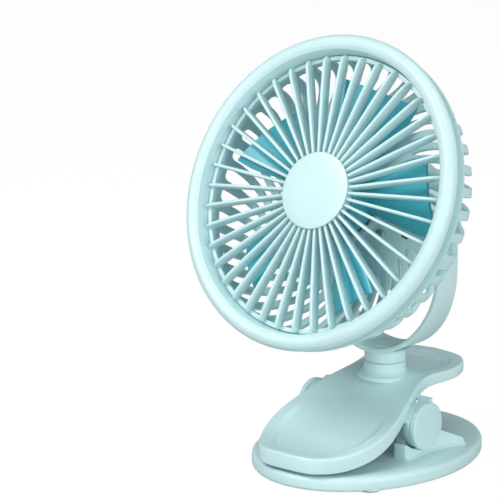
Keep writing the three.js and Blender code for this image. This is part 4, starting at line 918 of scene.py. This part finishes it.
def pad_outline(grow=0.0):
    """The pads' outline: straight behind, with two round corners in front."""
    half, front, back = PAD_HALF + grow, PAD_FRONT - grow, PAD_BACK + grow
    r = half * 0.62
    points = [(-half, back), (half, back)]
    for centre, start in ((half - r, 0), (r - half, -math.pi / 2)):
        for k in range(17):
            x, y = polar(r, start - math.pi / 2 * k / 16)
            points.append((centre + x, front + r + y))
    return points


def tray():
    """The tray that carries the upper pad, hung from the lever by four ribs."""
    b = Build().prism(pad_outline(1.2), TRAY_LOW, TRAY_LOW + TRAY_T)
    front, back = -60, PAD_BACK
    rib = [(front, TRAY_LOW), (back, TRAY_LOW)]
    rib += [(y, lever_top(y) - 3.2) for y in (back, -44, -52, front)]
    for share in (-1, -1 / 3, 1 / 3, 1):
        x = PAD_HALF * share
        b.prism(rib, x - RIB_HALF_T, x + RIB_HALF_T, axis="x")
    make("lever_tray", b, CLIP, MINT, "lever")


def pads():
    for name, body, z, replaced in (
        ("jaw_pad_low", "base", 8.3, "lower_jaw_pad"),
        ("jaw_pad_high", "lever", 10.4, "upper_jaw_pad"),
    ):
        b = Build().prism(pad_outline(), z, z + PAD_T)
        make(name, b, CLIP, PAD, body, [replaced], bevel=0.4)


def pivot_caps():
    face = EAR_OUT + 0.3
    profile = [
        (0, face - 2),
        (CAP_HUB_R, face - 2),
        (CAP_HUB_R, face),
        (CAP_R, face),
        (CAP_R, face + 3),
        (0, face + 3.3),
    ]
    for name, side in SIDES:
        turn = sideways(side, PIVOT_Y, PIVOT_Z)
        b = Build().turned(profile, [0, 0, 0, 0.3, 1.1, 0], 5, 96, turn)
        make("hinge_cap_" + name, b, CLIP, MINT, "lever", ["pivot_cap_" + name], angle=50)


# ---------------------------------------------------------------- base
BASE_A, BASE_B, BASE_Y = 64.5, 50.2, -13.2
BASE_LOW, BASE_TOP = 1.2, 8.0
RIB_LOW, RIB_HIGH, RIB_SHORT = BASE_LOW + 0.1, 6, 4.5
FOOT_X, FOOT_Y, FOOT_R, SOCKET_R = 30, 39, 6.5, 6.8
FEET = [
    (f"{end}_{name}", side * FOOT_X, BASE_Y + way * FOOT_Y)
    for end, way in (("front", -1), ("rear", 1))
    for name, side in reversed(SIDES)
]
FLANK_REAR = 24.5
LUG_R, LUG_IN, LUG_OUT = 6.2, 21.3, 25.8


def ellipse(inset, z, count=192):
    """The foot's outline at a height, drawn in by an inset."""
    a, b = BASE_A - inset, BASE_B - inset
    turns = [TAU * j / count for j in range(count)]
    return [(b * math.cos(t), BASE_Y + a * math.sin(t), z) for t in turns]


def flank_top(y):
    """Height of a flank: a scoop under the ear, falling to a low tail behind it."""
    scoop_r = EAR_R + 0.5
    off = y - PIVOT_Y
    front = PIVOT_Z - EAR_R * 0.58 - 0.5
    back = lerp(PIVOT_Z - 4.6, BASE_TOP + 3, (off - scoop_r) / (FLANK_REAR - scoop_r))
    scoop = PIVOT_Z - math.sqrt(scoop_r**2 - off**2) if abs(off) < scoop_r else PIVOT_Z
    if off >= scoop_r * 0.9:
        return min(back, scoop)
    if off > -EAR_R * 0.6:
        return min(scoop, front)
    lean = min((off + EAR_R * 0.6) / (-EAR_R * 0.8), 1)
    low = PIVOT_Z - math.sqrt(scoop_r**2 - (EAR_R * 0.6) ** 2) - 0.5
    return lerp(low, PIVOT_Z - EAR_R * 0.45 - 1.1, step(0, 1, lean))


def flank(name, side):
    """A side wall outside the lug, whose foot is splayed."""
    front, rear = PIVOT_Y - EAR_R - 4.3, PIVOT_Y + FLANK_REAR
    rings = []
    for k in range(61):
        y = lerp(front, rear, k / 60)
        flare = 6.5 * step(PIVOT_Y + 4, rear + 4, y)
        out = EAR_X + 6.4 + flare
        top = max(flank_top(y), BASE_TOP + 0.4)
        rise = top - BASE_TOP
        section = [
            (EAR_X, BASE_TOP - 0.6),
            (out + 2.6, BASE_TOP - 0.6),
            (out + 2.0, BASE_TOP + 0.1),
            (out + 1.1, BASE_TOP + 0.5),
            (out + 0.5, BASE_TOP + min(1.2, rise * 0.5)),
            (out + 0.15, BASE_TOP + min(2.4, rise * 0.7)),
            (out, top),
            (EAR_X + flare, top),
            (EAR_X + flare, BASE_TOP + min(2.2, rise * 0.6)),
        ]
        rings.append([(x, y, z) for x, z in section])
    b = Build().skin(rings, flipped(side))
    make("base_flank_" + name, b, CLIP, MINT, "base", bevel=0.3, angle=35)


def lug(name, side):
    """An upright plate that holds an end of the axle."""
    foot, low, high = BASE_TOP + 0.3, BASE_TOP + 1.6, BASE_TOP + 6
    rear = [(15, foot), (10, low), (LUG_R + 1, high), (LUG_R, PIVOT_Z - 1)]
    front = [(-LUG_R, PIVOT_Z - 1), (-LUG_R - 1, high), (-9.5, low), (-14, foot)]
    crown = [polar(LUG_R, math.pi * k / 24) for k in range(1, 24)]
    outline = [(15, BASE_TOP - 1)] + spline(rear, 14)
    outline += [(y, PIVOT_Z + z) for y, z in crown]
    outline += spline(front, 14) + [(-14, BASE_TOP - 1)]
    outline = [(PIVOT_Y + y, z) for y, z in outline]
    b = Build().prism(outline, LUG_IN, LUG_OUT, axis="x", turn=flipped(side))
    make("base_lug_" + name, b, CLIP, MINT, "base", bevel=0.5)


def base():
    shell = [
        (4.2, BASE_TOP - 2.6),
        (3.8, BASE_TOP - 3.2),
        (3.8, BASE_LOW + 0.3),
        (3.4, BASE_LOW),
        (1.6, BASE_LOW),
        (0.7, BASE_LOW + 0.25),
        (0.15, BASE_LOW + 0.9),
        (0, BASE_LOW + 1.6),
        (0, BASE_TOP - 2.2),
        (0.2, BASE_TOP - 1.5),
        (0.8, BASE_TOP - 0.7),
        (1.7, BASE_TOP - 0.2),
        (2.8, BASE_TOP),
        (8, BASE_TOP),
        (30, BASE_TOP),
    ]
    b = Build().skin([ellipse(inset, z) for inset, z in shell])
    for x in (-23.5, 0, 23.5):
        long = BASE_A * math.sqrt(1 - (x / BASE_B) ** 2) - RIB_SHORT
        rib = rect(BASE_Y - long, BASE_Y + long, RIB_LOW, RIB_HIGH)
        b.prism(rib, x - RIB_HALF_T, x + RIB_HALF_T, axis="x")
    for y in (-36.5, -12.5, 11.5):
        wide = BASE_B * math.sqrt(1 - ((y - BASE_Y) / BASE_A) ** 2) - RIB_SHORT
        b.prism(rect(-wide, wide, y - RIB_HALF_T, y + RIB_HALF_T), RIB_LOW, RIB_HIGH)
    socket = [
        (0, BASE_LOW + 1.1),
        (SOCKET_R, BASE_LOW + 1.1),
        (SOCKET_R, BASE_LOW),
        (SOCKET_R + 1.5, BASE_LOW),
        (SOCKET_R + 1.5, RIB_HIGH),
        (0, RIB_HIGH),
    ]
    for _, x, y in FEET:
        b.lathe(socket, 48, moved(x, y))
    make("base_shell", b, CLIP, MINT, "base", ["base_plate"], angle=42)
    for name, side in SIDES:
        flank(name, side)
        lug(name, side)


def feet():
    for place, x, y in FEET:
        b = Build().turned(rect(0, FOOT_R, 0, 2), [0, 0.7, 0.1, 0], 4, 64, moved(x, y))
        make("foot_" + place, b, CLIP, RUBBER, "base", ["rubber_foot_" + place])


# ---------------------------------------------------------------- spring
COIL_R, PITCH, TURNS, COIL_X = 5.2, 2.1, 4, 20.2
LEG_Y = PIVOT_Y - COIL_R
WIRE = 0.75
BRIDGE_Y, BRIDGE_GAP = 15.6, 0.56


def spring():
    """Two coils that start from legs on the foot, and a bridge under the lever's tail."""
    bridge_z = lever_top(BRIDGE_Y) - WALL - BRIDGE_GAP - WIRE
    ty, tz = BRIDGE_Y - PIVOT_Y, bridge_z - PIVOT_Z
    leave_at = math.atan2(tz, ty) + math.acos(COIL_R / math.hypot(ty, tz))
    sweep = math.pi - leave_at + TAU * TURNS
    count = 150
    coil = [(COIL_X, LEG_Y, lerp(6, PIVOT_Z, s / 6)) for s in range(6)]
    for i in range(count + 1):
        gone = sweep * i / count
        y, z = polar(COIL_R, math.pi - gone)
        coil.append((COIL_X - PITCH * gone / TAU, PIVOT_Y + y, PIVOT_Z + z))
    b = Build().tube(coil, WIRE)
    b.tube([(-x, y, z) for x, y, z in coil], WIRE)
    make("spring_coils", b, CLIP, SPRING, "base", ["torsion_spring"], angle=70)
    x, y, z = coil[-1]
    half = [(x, lerp(y, BRIDGE_Y - 1.5, s / 8), lerp(z, bridge_z - 0.4, s / 8)) for s in range(9)]
    half += [
        (x - 0.25, BRIDGE_Y - 0.6, bridge_z - 0.1),
        (x - 0.9, BRIDGE_Y - 0.1, bridge_z),
        (x - 2, BRIDGE_Y, bridge_z),
    ]
    full = half + [(-px, py, pz) for px, py, pz in reversed(half)]
    b = Build().tube(full, WIRE)
    make("spring_bridge", b, CLIP, SPRING, "lever", angle=70)


# ---------------------------------------------------------------- carried-over solids
def dress():
    looks = {
        STEEL: ["clip_axle", "swivel_washer", "swivel_bolt", "swivel_nut", "motor", "motor_shaft"]
        + ["button_switch", "usb_socket", "tilt_screw_left", "tilt_screw_right"]
        + [f"cover_screw_{k}" for k in (1, 2, 3, 4)]
        + [f"cage_screw_{k}" for k in (1, 2, 3)],
        DARK: ["spring_sleeve"],
        BOARD: ["control_board"],
        CELL: ["battery_cell"],
        LENS: ["charge_light_lens"],
    }
    for material, names in looks.items():
        for name in names:
            mesh = frame["nodes"][name].data
            mesh.materials.clear()
            mesh.materials.append(material)


# ---------------------------------------------------------------- studio
CAMERA_AT = (0.6648, -0.9127 + SHIFT * MM, 0.3631)
LOOK_DOWN, LOOK_LEFT = 13.12, 39.4  # degrees
FOCAL_LENGTH = 173.3
FLOOR = 12  # metres from the middle to an edge
AIM = Vector((0, 0, 0.11))
LAMPS = (
    ("key", (-0.5, -1.15, 1.25), 17, 0.7),
    ("front", (0.9, -1.3, 0.5), 3.5, 0.9),
    ("side", (1.4, -0.4, 0.4), 11, 0.9),
    ("low", (-0.2, -1.4, 0.15), 2.5, 0.8),
    ("top", (0.1, 0.2, 1.5), 4, 1.0),
    ("rim", (0.7, 1.2, 0.7), 2, 0.8),
)


def camera():
    obj = linked("camera", bpy.data.cameras.new("camera"))
    obj.location = CAMERA_AT
    obj.rotation_euler = (math.radians(90 - LOOK_DOWN), 0, math.radians(LOOK_LEFT))
    obj.data.lens = FOCAL_LENGTH
    obj.data.sensor_width = 36
    obj.data.clip_start = 0.05
    obj.data.clip_end = 50
    bpy.context.scene.camera = obj


def floor():
    """A white ground that shows soft shadows and glows a little for the camera alone."""
    mesh = bpy.data.meshes.new("floor")
    corners = [(x, y, 0) for x, y in rect(-FLOOR, FLOOR, -FLOOR, FLOOR)]
    mesh.from_pydata(corners, [], [(0, 1, 2, 3)])
    ground = linked("floor", mesh)
    mat = bpy.data.materials.new("floor_white")
    mat.use_nodes = True
    tree = mat.node_tree
    shader = tree.nodes["Principled BSDF"]
    shader.inputs["Base Color"].default_value = (0.5, 0.5, 0.5, 1)
    shader.inputs["Roughness"].default_value = 0.9
    glow = node(tree, "Emission", Color=(1, 1, 1, 1), Strength=1.1)
    path = node(tree, "LightPath")
    share = node(tree, "Math")
    share.operation = "MULTIPLY"
    share.inputs[1].default_value = 0.87
    mix = node(tree, "MixShader")
    tree.links.new(path.outputs["Is Camera Ray"], share.inputs[0])
    tree.links.new(share.outputs[0], mix.inputs["Fac"])
    tree.links.new(shader.outputs[0], mix.inputs[1])
    tree.links.new(glow.outputs[0], mix.inputs[2])
    tree.links.new(mix.outputs[0], tree.nodes["Material Output"].inputs["Surface"])
    mesh.materials.append(mat)


def world():
    """A faint cool light from all sides, and plain white for the camera."""
    sky = bpy.data.worlds.new("studio")
    bpy.context.scene.world = sky
    sky.use_nodes = True
    tree = sky.node_tree
    light = tree.nodes["Background"]
    light.inputs["Color"].default_value = (0.93, 0.97, 1.0, 1)
    light.inputs["Strength"].default_value = 0.2
    white = node(tree, "Background", Color=(1, 1, 1, 1), Strength=1)
    path = node(tree, "LightPath")
    mix = node(tree, "MixShader")
    tree.links.new(path.outputs["Is Camera Ray"], mix.inputs["Fac"])
    tree.links.new(light.outputs[0], mix.inputs[1])
    tree.links.new(white.outputs[0], mix.inputs[2])
    tree.links.new(mix.outputs[0], tree.nodes["World Output"].inputs["Surface"])


def lamps():
    for name, place, power, wide in LAMPS:
        lamp = bpy.data.lights.new(name, "AREA")
        lamp.energy = power
        lamp.size = wide
        obj = linked(name, lamp)
        obj.location = place
        obj.rotation_euler = (AIM - Vector(place)).to_track_quat("-Z", "Y").to_euler()


bezel()
grille()
cage()
pod()
rotor()
yoke()
lever()
pads()
pivot_caps()
base()
feet()
spring()
dress()
camera()
floor()
world()
lamps()
bpy.context.scene.view_settings.view_transform = "Standard"
